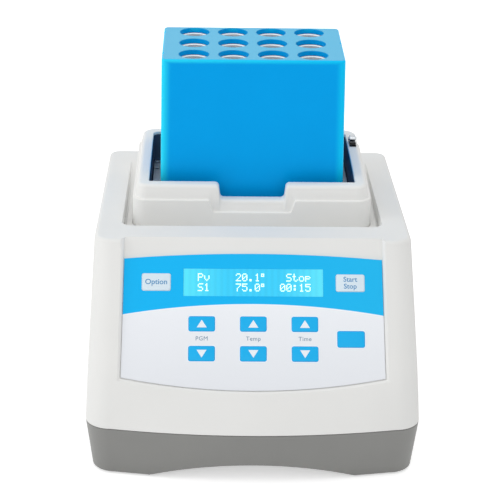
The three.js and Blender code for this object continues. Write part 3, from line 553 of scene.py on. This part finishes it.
lowerLo, lowerHi = boxOf("lower_housing")
base = {
    "sideDraft": 3.6, "frontDraft": 2.6, "soft": 1.2, "wall": 3.0, "floor": 12.0, "floorThick": 2.5,
    "archHalf": 60.0, "archRise": 9.5, "archEnd": 4.0,
    "ventPitch": 9.0, "ventCount": 7, "ventMid": 52.0, "ventHalf": (16.0, 1.75)}


def baseRing(z, inset):
    # the body's outline at height z, drawn in evenly towards the bottom
    t = (body["seam"] - z) / (body["seam"] - lowerLo[2])
    side, front = base["sideDraft"] * t + inset, base["frontDraft"] * t + inset
    return bodyRing(
        body["halfW"] - side, body["front"] + front, body["back"] - side,
        max(2, body["frontCorner"] - side * 0.5), max(2, body["backCorner"] - side * 0.5), body["bow"],
        lambda y: np.full_like(y, z))


def lowerHousing():
    # tray with a quarter round at its bottom, a raised floor, a circular arch cut through and two rows of slots
    bottom, soft = lowerLo[2], base["soft"]
    a = np.radians(np.linspace(0, 90, 6))
    rings = [baseRing(bottom + soft * (1 - np.sin(v)), soft * (1 - np.cos(v))) for v in a[::-1]]
    rings += [baseRing(z, 0) for z in np.linspace(bottom + soft + 2, lowerHi[2], 6)]
    shell = loftMesh("lower", np.stack(rings))
    above = loftMesh("above", np.stack([
        baseRing(base["floor"] + base["floorThick"], base["wall"]), baseRing(body["seam"] + 1, base["wall"])]))
    below = loftMesh("below", np.stack([
        baseRing(bottom - 1, base["wall"] + 1.5), baseRing(base["floor"], base["wall"] + 0.5)]))
    radius = (base["archHalf"] ** 2 + base["archRise"] ** 2) / (2 * base["archRise"])
    b = np.arcsin(base["archHalf"] / radius) * np.linspace(-1, 1, 49)
    arch = np.column_stack([radius * np.sin(b), bottom + base["archRise"] - radius * (1 - np.cos(b))])
    end = base["archHalf"] + base["archEnd"]
    arch = np.concatenate([[[-end, bottom - 3]], arch, [[end, bottom - 3]]])[::-1]
    tool = prismMesh("arch", arch, -140, 140)
    turned(tool, Matrix(((1, 0, 0, 0), (0, 0, -1, 0), (0, 1, 0, 0), (0, 0, 0, 1))))
    slots = []
    halfX, halfY = base["ventHalf"]
    for mid in (-base["ventMid"], base["ventMid"]):
        for i in range(base["ventCount"]):
            y = wellY + (i - (base["ventCount"] - 1) / 2) * base["ventPitch"]
            slots.append(boxMesh(
                "slot", mid - halfX, mid + halfX, y - halfY, y + halfY, base["floor"] - 1, base["floor"] + 4))
    return carved(shell, [above, below, tool, joined("slots", slots)])


lower = makePiece("lowerHousing", lowerHousing(), baseAbs, "body", ["lower_housing"])
softenEdges(lower, 0.5)
print("lower housing built")

# well collar: one section carried round a rounded rectangle
collar = {
    "corner": 9.0, "flank": (112.0, 122.0), "ledge": 131.4, "step": 1.2, "inner": 63.0, "edge": 2.6, "lipRound": 0.5,
    "seat": 1.8, "backCorner": 4.5,
    "rimNotch": (20.0, 9.7, 2.6, 0.5), "ledgeNotch": (25.0, 7.8, 1.5, 1.6)}


def notchDip(x, notch):
    # a step down: quarter round, steep wall, quarter round back to level; half-width, depth, round and slant
    half, depth, r, slant = notch
    q = np.linspace(0, np.pi / 2, 10)
    inner = np.column_stack([half - slant / 2 - r + r * np.sin(q), depth - r * (1 - np.cos(q))])
    outer = np.column_stack([half + slant / 2 + r * (1 - np.cos(q)), r * (1 - np.sin(q))])
    line = np.concatenate([inner, outer])
    return np.interp(np.abs(x), line[:, 0], line[:, 1])


def collarRings():
    # section rows: (offset inwards from the outer face, height, share of rim dip, share of ledge dip)
    top, ledge, st, e = collarHi[2], collar["ledge"], collar["step"], collar["edge"]
    wall = collarHi[0] - collar["inner"]
    q = np.radians(np.linspace(0, 90, 7))
    low, high = collar["flank"]
    rows = [(0.0, collarLo[2], 0, 0), (0.0, low, 0, 0), (0.05, high, 0, 0), (0.2, ledge - 0.9, 0, 1)]
    rows += [(0.2 + 0.8 * (1 - np.cos(v)), ledge - 0.8 + 0.8 * np.sin(v), 0, 1) for v in q]
    rows += [(st - 0.1, ledge + 0.02, 0, 1), (st + 0.3, ledge + 0.1, 0, 1), (st + 0.45, ledge + 0.5, 0, 1)]
    rows += [(st + 0.7, ledge + 2, 0.3, 0.75), (st + 1.5, top - e - 0.6, 1, 0), (st + 1.75, top - e, 1, 0)]
    rows += [(st + 1.75 + e * (1 - np.cos(v)), top - e + e * np.sin(v), 1, 0) for v in q[1:]]
    lip, seat = collar["lipRound"], wall - collar["seat"]
    rows += [(wall - lip + lip * np.sin(v), top - lip + lip * np.cos(v), 1, 0) for v in q]
    rows += [(wall, top - 2, 1, 0), (wall - 1.7, top - 2, 1, 0), (seat, top - 3, 0.9, 0), (seat, collarLo[2], 0, 0)]
    return np.array(rows)


def wellCollar():
    # each section row is a rounded rectangle; along the front its height drops by the dip at that x
    rings = []
    reach = np.concatenate([
        np.linspace(0, 16, 9), np.linspace(16.5, 23.4, 40), np.linspace(23.6, 28, 26), np.linspace(30, 60, 12)])
    walls = [n[0] + side * n[3] / 2 for n in (collar["rimNotch"], collar["ledgeNotch"]) for side in (-1, 1)]
    reach = np.unique(np.concatenate([reach, walls]).round(4))
    fine = np.concatenate([-reach[:0:-1], reach])
    b = np.radians(np.linspace(0, 90, 13))
    for inset, z, rimShare, ledgeShare in collarRings():
        hw, a0, a1 = collarHi[0] - inset, collarLo[1] + inset, collarHi[1] - inset
        r = max(1.2, collar["corner"] - inset * 0.95)
        rb = max(collar["backCorner"], collar["corner"] - inset * 0.5)
        corners = [
            np.stack([px + q * np.cos(b + s), py + q * np.sin(b + s)], -1)
            for px, py, q, s in (
                (hw - r, a0 + r, r, -np.pi / 2), (hw - rb, a1 - rb, rb, 0), (-hw + rb, a1 - rb, rb, np.pi / 2),
                (-hw + r, a0 + r, r, np.pi))]
        front = np.column_stack([fine, np.full(len(fine), a0)])
        o = np.concatenate([front, *corners])
        isFront = np.arange(len(o)) < len(fine)
        dip = isFront * (
            rimShare * notchDip(o[:, 0], collar["rimNotch"]) + ledgeShare * notchDip(o[:, 0], collar["ledgeNotch"]))
        rings.append(np.column_stack([o, z - dip]))
    return ringMesh("collar", np.stack(rings))


makePiece("wellCollar", wellCollar(), collarAbsPaintedLight, "body", ["well_collar"], sharpFrom=50)
print("collar built")

jacketLo, jacketHi = boxOf("block_cover")
coreLo, coreHi = boxOf("tube_block")
tubes = {
    "pitch": 24.0, "columns": 4, "rows": 3, "bore": 17.0, "hole": 18.6, "depth": 84.0, "notch": 2.0, "draft": 1.2,
    "corner": 2.5, "edge": 1.2, "top": 3.0, "chamfer": 0.6, "lip": 0.35, "gap": 0.3,
    "notches": ((-1, -22), (-1, 23), (1, 2))}
blockMid = (jacketLo + jacketHi) / 2
ix, iy = np.meshgrid(np.arange(tubes["columns"]), np.arange(tubes["rows"]), indexing="ij")
centres = np.column_stack([
    (ix.ravel() - (tubes["columns"] - 1) / 2) * tubes["pitch"],
    blockMid[1] + (iy.ravel() - (tubes["rows"] - 1) / 2) * tubes["pitch"]])


def turnedTool(name, x, y, profile, steps=64):
    # radius and height pairs turned about an upright axis, from the lowest up
    a = np.linspace(0, 2 * np.pi, steps, endpoint=False)
    rings = np.stack([
        np.column_stack([x + r * np.cos(a), y + r * np.sin(a), np.full(steps, z)]) for r, z in profile])
    return loftMesh(name, rings)


def jacketMesh():
    # rounded rectangle that widens evenly downwards; its top edge is a quarter round
    top, rt = jacketHi[2], tubes["edge"]
    rise = top - jacketLo[2]
    rings = []
    rows = [(jacketLo[2], 0), (top - 60, 0), (top - rt, 0)]
    rows += [(top - rt + rt * np.sin(v), rt * (1 - np.cos(v))) for v in np.radians([15, 30, 45, 60, 75, 90])]
    for z, inset in rows:
        q = inset + tubes["draft"] * (z - jacketLo[2]) / rise
        o = roundRect(
            jacketLo[0] + q, jacketHi[0] - q, jacketLo[1] + q, jacketHi[1] - q, tubes["corner"] - inset * 0.6, 8)
        rings.append(levelRing(o, z))
    shell = loftMesh("jacket", np.stack(rings))
    gap, lip, r = tubes["gap"], tubes["lip"], tubes["hole"] / 2
    inside = roundRect(coreLo[0] - gap, coreHi[0] + gap, coreLo[1] - gap, coreHi[1] + gap, 0.8, 4)
    inner = prismMesh("inner", inside, jacketLo[2] - 2, top - tubes["top"])
    profile = [(r, top - 6), (r, top - 0.3), (r + 0.1, top - 0.1), (r + lip, top + 0.05), (r + lip, top + 3)]
    holes = [turnedTool("hole", x, y, profile) for x, y in centres]
    side = jacketHi[0] - tubes["draft"] + 0.6
    profile = [(tubes["notch"], top - 4), (tubes["notch"], top + 3)]
    notches = [turnedTool("notch", way * side, blockMid[1] + dy, profile, 24) for way, dy in tubes["notches"]]
    return carved(shell, [inner, joined("holes", holes), joined("notches", notches)])


def nearFace(tree, coordinate, middle, half, reach):
    # 1 within the first reach of a pair of faces, 0 past the second; half may be another node's output
    off = addNode(tree, "Math", {"operation": "SUBTRACT"}, {0: coordinate, 1: middle})
    away = addNode(tree, "Math", {"operation": "ABSOLUTE"}, {0: off})
    depth = addNode(tree, "Math", {"operation": "SUBTRACT"}, {0: half, 1: away})
    near = addNode(tree, "MapRange", {"interpolation_type": "SMOOTHSTEP"}, {
        "Value": depth, "From Min": reach[0], "From Max": reach[1], "To Min": 1.0, "To Max": 0.0})
    return near.outputs[0]


def jacketMaterial(spec):
    # translucent blue polycarbonate, satin moulded, with painted light: a painted highlight along its vertical
    # corners and top rim, brighter on the left, and a paler painted sheen on the top face
    mat, tree, shader, mm = baseMaterial("jacketPlastic", {"IOR": 1.58, "Specular IOR Level": spec["gloss"]})
    tone = grainAndTone(tree, shader, mm, spec)
    axes = addNode(tree, "SeparateXYZ", None, {0: mm})
    halfX = addNode(tree, "MapRange", None, {
        "Value": axes.outputs[2], "From Min": float(jacketLo[2]), "From Max": float(jacketHi[2]),
        "To Min": float(jacketHi[0]), "To Max": float(jacketHi[0] - tubes["draft"])})
    halfY = addNode(tree, "Math", {"operation": "ADD"}, {
        0: halfX, 1: float((jacketHi[1] - jacketLo[1]) / 2 - jacketHi[0])})
    midY, span = float(blockMid[1]), float(jacketHi[2])
    nearX = nearFace(tree, axes, 0.0, halfX, spec["side"])
    nearY = nearFace(tree, axes.outputs[1], midY, halfY, spec["side"])
    rimX = nearFace(tree, axes, 0.0, halfX, spec["rim"])
    rimY = nearFace(tree, axes.outputs[1], midY, halfY, spec["rim"])
    rimZ = nearFace(tree, axes.outputs[2], 0.0, span, spec["rim"])
    topZ = nearFace(tree, axes.outputs[2], 0.0, span, spec["top"])
    # painted highlight mask: 1 near the vertical corners and along the top rim, 0 on the top face
    corner = addNode(tree, "Math", {"operation": "MULTIPLY"}, {0: nearX, 1: nearY})
    either = addNode(tree, "Math", {"operation": "MAXIMUM"}, {0: rimX, 1: rimY})
    rim = addNode(tree, "Math", {"operation": "MULTIPLY"}, {0: either, 1: rimZ})
    most = addNode(tree, "Math", {"operation": "MAXIMUM"}, {0: corner, 1: rim})
    beside = addNode(tree, "Math", {"operation": "SUBTRACT"}, {0: 1.0, 1: topZ})
    glow = addNode(tree, "Math", {"operation": "MULTIPLY"}, {0: most, 1: beside})
    # painted highlight tone, brighter on the left than on the right
    across = addNode(tree, "MapRange", None, {"Value": axes, "From Min": -spec["across"], "From Max": spec["across"]})
    highlightTone = addNode(tree, "Mix", rgba, {0: across, 6: spec["edgeLeft"], 7: spec["edgeRight"]})
    # painted sheen: the top face gets a paler tone
    sheened = addNode(tree, "Mix", rgba, {0: topZ, 6: tone.outputs[2], 7: spec["topTone"]})
    highlighted = addNode(tree, "Mix", rgba, {0: glow, 6: sheened.outputs[2], 7: highlightTone.outputs[2]})
    tree.links.new(highlighted.outputs[2], shader.inputs["Base Color"])
    return mat


# the edge tones are painted highlights and the top tone is a painted sheen
jacketPlastic = jacketMaterial(finish(
    "#00AAF6", "#00A4F0", 1.2, 0.04, 30, 0.32, 0.38, gloss=0.04, side=(1.2, 6.2), rim=(0.9, 3.2), top=(0.02, 0.5),
    edgeLeft="#26DAFF", edgeRight="#0CCAFF", across=50.0, topTone="#60BDE4"))
jacket = makePiece("blockJacket", jacketMesh(), jacketPlastic, "block", ["block_cover"])
evenNormals(jacket)


def coreMesh():
    # block with a bore at each centre: tapered end, straight wall, small chamfer at the mouth
    top, r = coreHi[2], tubes["bore"] / 2
    low, wide = top - tubes["depth"], r + tubes["chamfer"]
    block = prismMesh("core", roundRect(coreLo[0], coreHi[0], coreLo[1], coreHi[1], 1.0, 3), coreLo[2], top)
    profile = [
        (r * 0.35, low), (r * 0.86, low + 3.5), (r, low + 8), (r, top - tubes["chamfer"]), (wide, top + 0.1),
        (wide, top + 2)]
    return carved(block, [joined("bores", [turnedTool("bore", x, y, profile) for x, y in centres])])


core = makePiece("tubeBlock", coreMesh(), blockAluminium, "block", ["tube_block"])
evenNormals(core)
print("block built")


def keyMesh(name, x, s, w, h, low, high):
    # a key's pad on the panel plane: rounded outline, its top edge eased by a quarter round
    edge, rings = 0.3, []
    for z, inset in [(low, 0), (high - edge, 0)] + [
            (high - edge + edge * np.sin(v), edge * (1 - np.cos(v))) for v in np.radians([30, 60, 90])]:
        o = roundRect(x - w / 2 + inset, x + w / 2 - inset, s - h / 2 + inset, s + h / 2 - inset, 1.0, 6)
        rings.append(levelRing(o, z))
    return onPanel(loftMesh(name, np.stack(rings)))


def panelSpot(node):
    # middle of a CAD node in panel coordinates: across, and up the slope
    lo, hi = boxOf(node)
    mid = (lo + hi) / 2 - panelOrigin
    return mid[0], float(mid @ slope)


keyProud, keyLow = 0.35, -1.7
# grow from the key's outline to the ring's inner and outer side, then its lower and upper face
keySeat, keyBead = (0.05, 0.28, -0.45, -0.03), (0.3, 0.8, 0.0, 0.06)
keySpec = {
    "key_option": (16.4, 10.0, keyPale), "key_start_stop": (16.4, 10.0, keyPale), "key_multi": (15.6, 9.4, keyBlue),
    **{f"key_{n}_{d}": (15.0, 8.6, keyBlue) for n in ("program", "temp", "time") for d in ("up", "down")}}
keyAt = {}
for node, (w, h, mat) in keySpec.items():
    x, s = panelSpot(node)
    keyAt[node] = (x, s)
    makePiece(f"pad_{node}", keyMesh(node, x, s, w, h, keyLow, keyProud), mat, node, [node], sharpFrom=60)


def keyRing(x, s, w, h, near, far, low, high):
    # rectangular section carried round the key's rounded outline
    rows = []
    for grow, z in ((near, low), (far, low), (far, high), (near, high)):
        o = roundRect(x - w / 2 - grow, x + w / 2 + grow, s - h / 2 - grow, s + h / 2 + grow, 1.0 + grow, 6)
        rows.append(levelRing(o, z))
    return ringMesh("ring", np.stack(rows[::-1]))


for mat, name in ((keyBlue, "keySeatsBlue"), (keyPale, "keySeatsPale")):
    rings = [keyRing(*keyAt[n], *keySpec[n][:2], *keySeat) for n in keySpec if keySpec[n][2] == mat]
    makePiece(name, onPanel(joined(name, rings)), mat, "body", sharpFrom=50)
rings = [keyRing(*keyAt[n], *keySpec[n][:2], *keyBead) for n in keySpec if keySpec[n][2] == keyBlue]
makePiece("keyRims", onPanel(joined("keyRims", rings)), keyRim, "body", sharpFrom=50)
print("keys built")


def overlayMaterial(spec):
    # clear polyester printed from behind: blue band over pale grey, a white line between them; the pale grey is
    # darker towards the bottom, painted shade
    mat, tree, shader, mm = baseMaterial("overlayPrint", {
        "IOR": 1.58, "Roughness": 0.34, "Specular IOR Level": 0.12})
    local = addNode(tree, "Mapping", {"vector_type": "TEXTURE"}, {
        "Vector": mm, "Location": tuple(float(v) for v in panelOrigin), "Rotation": (panelAngle, 0, 0)})
    axes = addNode(tree, "SeparateXYZ", None, {0: local})
    share = addNode(tree, "Math", {"operation": "DIVIDE"}, {0: axes, 1: spec["half"]})
    square = addNode(tree, "Math", {"operation": "MULTIPLY"}, {0: share, 1: share})
    edge = addNode(tree, "Math", {"operation": "MULTIPLY_ADD"}, {
        0: square, 1: panel["bandSide"] - panel["bandMid"], 2: panel["bandMid"]})
    above = addNode(tree, "Math", {"operation": "SUBTRACT"}, {0: axes.outputs[1], 1: edge})
    inBand = addNode(tree, "MapRange", None, {"Value": above, "From Min": -0.1, "From Max": 0.1})
    inLine = addNode(tree, "MapRange", None, {
        "Value": above, "From Min": -panel["bandLine"] - 0.2, "From Max": -panel["bandLine"] + 0.1})
    # painted shade: the pale print darkens towards the bottom of the panel
    shade = addNode(tree, "MapRange", None, {
        "Value": axes.outputs[1], "From Min": spec["shade"][0], "From Max": spec["shade"][1]})
    pale = addNode(tree, "Mix", rgba, {0: shade, 6: spec["pale"][0], 7: spec["pale"][1]})
    lined = addNode(tree, "Mix", rgba, {0: inLine, 6: pale.outputs[2], 7: spec["line"]})
    drift = addNode(tree, "TexNoise", None, {"Vector": mm, "Scale": 1 / 30, "Detail": 2})
    right = addNode(tree, "MapRange", None, {
        "Value": axes, "From Min": spec["blueFrom"], "From Max": spec["half"], "To Max": 0.9})
    towards = addNode(tree, "Math", {"operation": "MULTIPLY_ADD"}, {0: drift, 1: 0.1, 2: right})
    blue = addNode(tree, "Mix", rgba, {0: towards, 6: spec["blue"][0], 7: spec["blue"][1]})
    printed = addNode(tree, "Mix", rgba, {0: inBand, 6: lined.outputs[2], 7: blue.outputs[2]})
    tree.links.new(printed.outputs[2], shader.inputs["Base Color"])
    grain = addNode(tree, "TexNoise", None, {"Vector": mm, "Scale": 1 / 0.7, "Detail": 2})
    bump = addNode(tree, "Bump", None, {"Height": grain, "Strength": 0.05, "Distance": 0.0001})
    tree.links.new(bump.outputs[0], shader.inputs["Normal"])
    return mat


def lcdMaterial(spec):
    # backlit blue film behind a clear window: brighter towards the lamps at both ends, faint columns
    mat, tree, shader, mm = baseMaterial("lcdBacklit", {
        "IOR": 1.49, "Roughness": 0.2, "Specular IOR Level": 0.2, "Emission Strength": spec["glow"]})
    axes = addNode(tree, "SeparateXYZ", None, {0: mm})
    across = addNode(tree, "MapRange", None, {"Value": axes, "From Min": -spec["half"], "From Max": spec["half"]})
    ramp = addNode(tree, "ValToRGB", None, {0: across})
    stops = ramp.color_ramp.elements
    stops[0].color, stops[1].color = hexToLinear(spec["left"]), hexToLinear(spec["right"])
    for at in (0.3, 0.7):
        stops.new(at).color = hexToLinear(spec["middle"])
    wave = addNode(tree, "TexWave", {"bands_direction": "X"}, {"Vector": mm, "Scale": 0.085})
    tint = addNode(tree, "Mix", {"data_type": "RGBA", "blend_type": "MULTIPLY"}, {0: 0.05, 6: ramp, 7: wave})
    tree.links.new(tint.outputs[2], shader.inputs["Base Color"])
    tree.links.new(tint.outputs[2], shader.inputs["Emission Color"])
    return mat


def dotMaterial():
    # lit display dots: white light through the film
    mat, tree, shader, mm = baseMaterial("lcdDots", {"Roughness": 0.4, "Emission Strength": 0.75})
    flick = addNode(tree, "TexNoise", None, {"Vector": mm, "Scale": 1 / 9, "Detail": 1})
    tone = addNode(tree, "Mix", rgba, {0: flick, 6: "#E2FAFF", 7: "#D2F3FF"})
    tree.links.new(tone.outputs[2], shader.inputs["Base Color"])
    tree.links.new(tone.outputs[2], shader.inputs["Emission Color"])
    return mat


overlayPrint = overlayMaterial({
    "half": 76.0, "shade": (-64.0, -14.0), "pale": ("#E6E9EE", "#F0F3F8"), "line": "#F8FBFE", "blueFrom": -40.0,
    "blue": ("#0AB8F8", "#1EBAF2")})
lcdBacklit = lcdMaterial({"glow": 0.23, "half": 41.0, "left": "#54D8EE", "middle": "#38C2EB", "right": "#5AD8EE"})
lcdDots = dotMaterial()


def textMesh(words, size, x, s, w, bold=0.0, spread=1.0):
    # a word as a thin slab on the panel plane, centred at x and s
    curve = bpy.data.curves.new("words", "FONT")
    curve.body, curve.size, curve.align_x, curve.align_y = words, size / 1000, "CENTER", "CENTER"
    curve.offset, curve.extrude, curve.space_character = bold / 1000, 0.00003, spread
    curve.resolution_u = 4
    obj = newObject("words", curve)
    graph = bpy.context.evaluated_depsgraph_get()
    mesh = bpy.data.meshes.new_from_object(obj.evaluated_get(graph))
    bpy.data.objects.remove(obj)
    return onPanel(turned(mesh, Matrix.Translation((x / 1000, s / 1000, w / 1000))))


def flatMesh(name, outline, w):
    return onPanel(prismMesh(name, outline, w, w + letters["thick"]))


letters = {
    "keyTop": keyProud + 0.02, "overlayTop": 0.02, "lcdTop": -0.08, "thick": 0.04, "labelS": -33.8, "labelSize": 3.5,
    "labelSpread": 1.08, "arrowHalf": 2.9, "arrowFoot": 2.2, "arrowTip": 2.4}
for node, words, size, ds, bold in (
        ("key_option", "Option", 4.5, 0, 0.04), ("key_start_stop", "Start", 4.2, 2.1, 0.04),
        ("key_start_stop", "Stop", 4.2, -2.1, 0.04)):
    x, s = keyAt[node]
    makePiece("words_" + words.lower(), textMesh(words, size, x, s + ds, letters["keyTop"], bold), inkBlue, node)
for words, x in (("PGM", -30.0), ("Temp", 0.0), ("Time", 30.0)):
    label = textMesh(
        words, letters["labelSize"], x, letters["labelS"], letters["overlayTop"], spread=letters["labelSpread"])
    makePiece("label_" + words.lower(), label, inkSlate, "body")
for name in ("program", "temp", "time"):
    for way, sign in (("up", 1), ("down", -1)):
        key = f"key_{name}_{way}"
        x, s = keyAt[key]
        half, foot, tip = letters["arrowHalf"], s - letters["arrowFoot"] * sign, s + letters["arrowTip"] * sign
        tri = np.array([[x - half, foot], [x + half, foot], [x, tip]])
        makePiece(f"arrow_{name}_{way}", flatMesh("arrow", tri[::sign], letters["keyTop"]), inkWhite, key)

# 5 by 7 dot characters, one string for each row of dots
glyphs = {
    "P": "1111.|1...1|1...1|1111.|1....|1....|1....", "v": ".....|.....|1...1|1...1|1...1|.1.1.|..1..",
    "2": ".111.|1...1|....1|...1.|..1..|.1...|11111", "0": ".111.|1...1|1..11|1.1.1|11..1|1...1|.111.",
    ".": ".....|.....|.....|.....|.....|.11..|.11..", "1": "..1..|.11..|..1..|..1..|..1..|..1..|.111.",
    "*": "111..|1.1..|111..|.....|.....|.....|.....", "S": ".1111|1....|1....|.111.|....1|....1|1111.",
    "t": ".1...|.1...|111..|.1...|.1...|.1..1|..11.", "o": ".....|.....|.111.|1...1|1...1|1...1|.111.",
    "p": ".....|.....|1111.|1...1|1111.|1....|1....", "7": "11111|....1|...1.|..1..|.1...|.1...|.1...",
    "5": "11111|1....|1111.|....1|....1|1...1|.111.", ":": ".....|.11..|.11..|.....|.11..|.11..|....."}
display = {
    "lines": ("Pv    20.1*   Stop", "S1    75.0*  00:15"), "left": -32.2, "pitch": 3.7, "rows": (3.15, -2.95),
    "dotX": 0.63, "dotY": 0.68, "size": 0.57, "dotThick": 0.03, "paneHalf": (40.86, 8.31), "paneDepth": (-1.0, -0.1)}


def displayDots():
    # a small box for each dot that is on: column times its pitch across, row times its pitch down from the middle
    spots = []
    for line, mid in zip(display["lines"], display["rows"]):
        for col, letter in enumerate(line):
            if letter != " ":
                row, dot = np.nonzero(np.array([list(dots) for dots in glyphs[letter].split("|")]) == "1")
                x = display["left"] + col * display["pitch"] + dot * display["dotX"]
                spots.append(np.column_stack([x, mid + (3 - row) * display["dotY"]]))
    spots = np.concatenate(spots)
    h, low = display["size"] / 2, letters["lcdTop"]
    flat = np.array([[-h, -h], [h, -h], [h, h], [-h, h]])
    corner = np.concatenate([np.column_stack([flat, np.full(4, w)]) for w in (low, low + display["dotThick"])])
    points = (np.column_stack([spots, np.zeros(len(spots))])[:, None] + corner).reshape(-1, 3)
    side = np.array([[3, 2, 1, 0], [4, 5, 6, 7], [0, 1, 5, 4], [1, 2, 6, 5], [2, 3, 7, 6], [3, 0, 4, 7]])
    faces = (side[None] + 8 * np.arange(len(spots))[:, None, None]).reshape(-1, 4)
    return onPanel(meshFrom("dots", points, faces.tolist()))


makePiece("displayDots", displayDots(), lcdDots, "body")
# the window's pane fills its opening but for a hair
paneX, paneS = display["paneHalf"]
pane = prismMesh("pane", roundRect(-paneX, paneX, -paneS, paneS, 0.3, 3), *display["paneDepth"])
makePiece("displayPane", onPanel(pane), lcdBacklit, "body", ["lcd_window"])
print("lettering built")

# material and edge round in mm for each CAD node that is kept as it is
nodeFinish = {
    "panel_overlay": (overlayPrint, 0.12), "lcd_module": (boardResist, 0.3),
    "well_liner": (linerEnamel, 0.4), "heater_plate": (plateAluminium, 0.4), "heating_element": (heaterMica, 0.2),
    "insulation_pad": (fibrePad, 0.6), "heater_tray": (zincSteel, 0.3), "temperature_sensor": (zincSteel, 0.3),
    "thermal_cutout": (blackPlastic, 0.4), "keypad_board": (boardResist, 0.15), "main_board": (boardResist, 0.15),
    "heatsink": (plateAluminium, 0.2), "heater_triac": (blackPlastic, 0.3), "transformer": (coreIron, 0.8),
    "buzzer": (blackPlastic, 0.5), "keypad_cable": (ribbonPvc, 0.2), "rear_plate": (rearSheet, 0.06),
    "power_inlet": (blackPlastic, 0.5), "fuse_drawer": (blackPlastic, 0.4), "switch_body": (blackPlastic, 0.4),
    "power_rocker": (blackPlastic, 0.4), "hinge_bracket": (hingePaintedShadow, 0.25), "hinge_pin": (hingeSteel, 0.3)}
for node in frame["nodes"]:
    if node.startswith("inlet_pin"):
        nodeFinish[node] = (bladeBrass, 0.3)
    elif "screw" in node:
        nodeFinish[node] = (zincSteel, 0.25)
    elif node.startswith("foot_"):
        nodeFinish[node] = (footRubber, 1.0)
for node, (mat, width) in nodeFinish.items():
    obj = frame["nodes"][node]
    obj.data.materials.clear()
    obj.data.materials.append(mat)
    softenEdges(obj, width, segments=2, angle=35, weld=True)
print("CAD nodes finished")

# camera place in mm, turn in degrees to the right, down and about its own axis, and focal length
camera = {"spot": (-25.31, -989.83, 517.9), "yaw": 1.435, "pitch": 23.294, "roll": -0.952, "lens": 124.19}
light = {"world": 0.73, "key": 3.2, "left": 3.9, "right": 0.2, "front": 3.1, "floorGlow": 0.5, "aim": (0, 0.02, 0.1)}


def seenRays(tree):
    # 1 for camera, glossy and transmission rays, 0 for the rest
    rays = addNode(tree, "LightPath")
    direct = addNode(tree, "Math", {"operation": "ADD", "use_clamp": True}, {
        0: rays.outputs["Is Camera Ray"], 1: rays.outputs["Is Glossy Ray"]})
    every = addNode(tree, "Math", {"operation": "ADD", "use_clamp": True}, {
        0: direct, 1: rays.outputs["Is Transmission Ray"]})
    return every.outputs[0]


def stageMaterial():
    # matt white paper: plain diffuse, plus what the camera and mirrors see of its glow
    mat = bpy.data.materials.new("paperWhite")
    tree = emptyTree(mat)
    coord = addNode(tree, "TexCoord")
    fibre = addNode(tree, "TexNoise", None, {"Vector": coord.outputs["Object"], "Scale": 900.0, "Detail": 2})
    tone = addNode(tree, "Mix", rgba, {0: fibre, 6: "#F6F6F6", 7: "#F3F3F3"})
    diffuse = addNode(tree, "BsdfDiffuse", None, {"Color": tone.outputs[2]})
    power = addNode(tree, "Math", {"operation": "MULTIPLY"}, {0: seenRays(tree), 1: light["floorGlow"]})
    glow = addNode(tree, "Emission", None, {"Strength": power})
    both = addNode(tree, "AddShader", None, {0: diffuse, 1: glow})
    addNode(tree, "OutputMaterial", None, {"Surface": both})
    return mat


floor = newObject("floor", boxMesh("floor", -4000, 4000, -4000, 4000, -20, -0.05))
floor.data.materials.append(stageMaterial())

world = bpy.data.worlds.new("studio")
bpy.context.scene.world = world
worldTree = emptyTree(world)
shown = addNode(worldTree, "MapRange", None, {"Value": seenRays(worldTree), "To Min": light["world"], "To Max": 1.0})
sky = addNode(worldTree, "Background", None, {"Color": (1, 1, 1, 1), "Strength": shown})
addNode(worldTree, "OutputWorld", None, {"Surface": sky})


def softLamp(name, spot, size, power):
    # a rectangular soft box that faces the middle of the heater
    data = bpy.data.lights.new(name, "AREA")
    data.shape, data.size, data.size_y, data.energy = "RECTANGLE", size[0], size[1], power
    obj = newObject(name, data)
    obj.location = spot
    obj.rotation_euler = (Vector(light["aim"]) - Vector(spot)).to_track_quat("-Z", "Y").to_euler()


softLamp("overhead", (0.0, 0.1, 1.5), (1.2, 0.4), light["key"])
softLamp("leftBox", (-1.3, -0.2, 0.6), (0.35, 1.2), light["left"])
softLamp("rightBox", (1.3, -0.2, 0.6), (0.7, 1.2), light["right"])
softLamp("frontBox", (-0.3, -1.6, 1.1), (1.2, 0.8), light["front"])

yaw, pitch, roll = (np.radians(camera[k]) for k in ("yaw", "pitch", "roll"))
ahead = Vector((np.sin(yaw) * np.cos(pitch), np.cos(yaw) * np.cos(pitch), -np.sin(pitch)))
right = Vector((np.cos(yaw), -np.sin(yaw), 0))
down = ahead.cross(right)
rolledRight = right * np.cos(roll) + down * np.sin(roll)
rolledDown = down * np.cos(roll) - right * np.sin(roll)
camData = bpy.data.cameras.new("camera")
camData.lens, camData.sensor_width, camData.clip_start, camData.clip_end = camera["lens"], 36, 0.05, 20
cam = newObject("camera", camData)
spot = Vector(camera["spot"]) / 1000
cam.matrix_world = Matrix((
    (rolledRight.x, -rolledDown.x, -ahead.x, spot.x), (rolledRight.y, -rolledDown.y, -ahead.y, spot.y),
    (rolledRight.z, -rolledDown.z, -ahead.z, spot.z), (0, 0, 0, 1)))
bpy.context.scene.camera = cam
bpy.context.scene.view_settings.view_transform = "Standard"
print("stage ready")

bpy.context.view_layer.update()
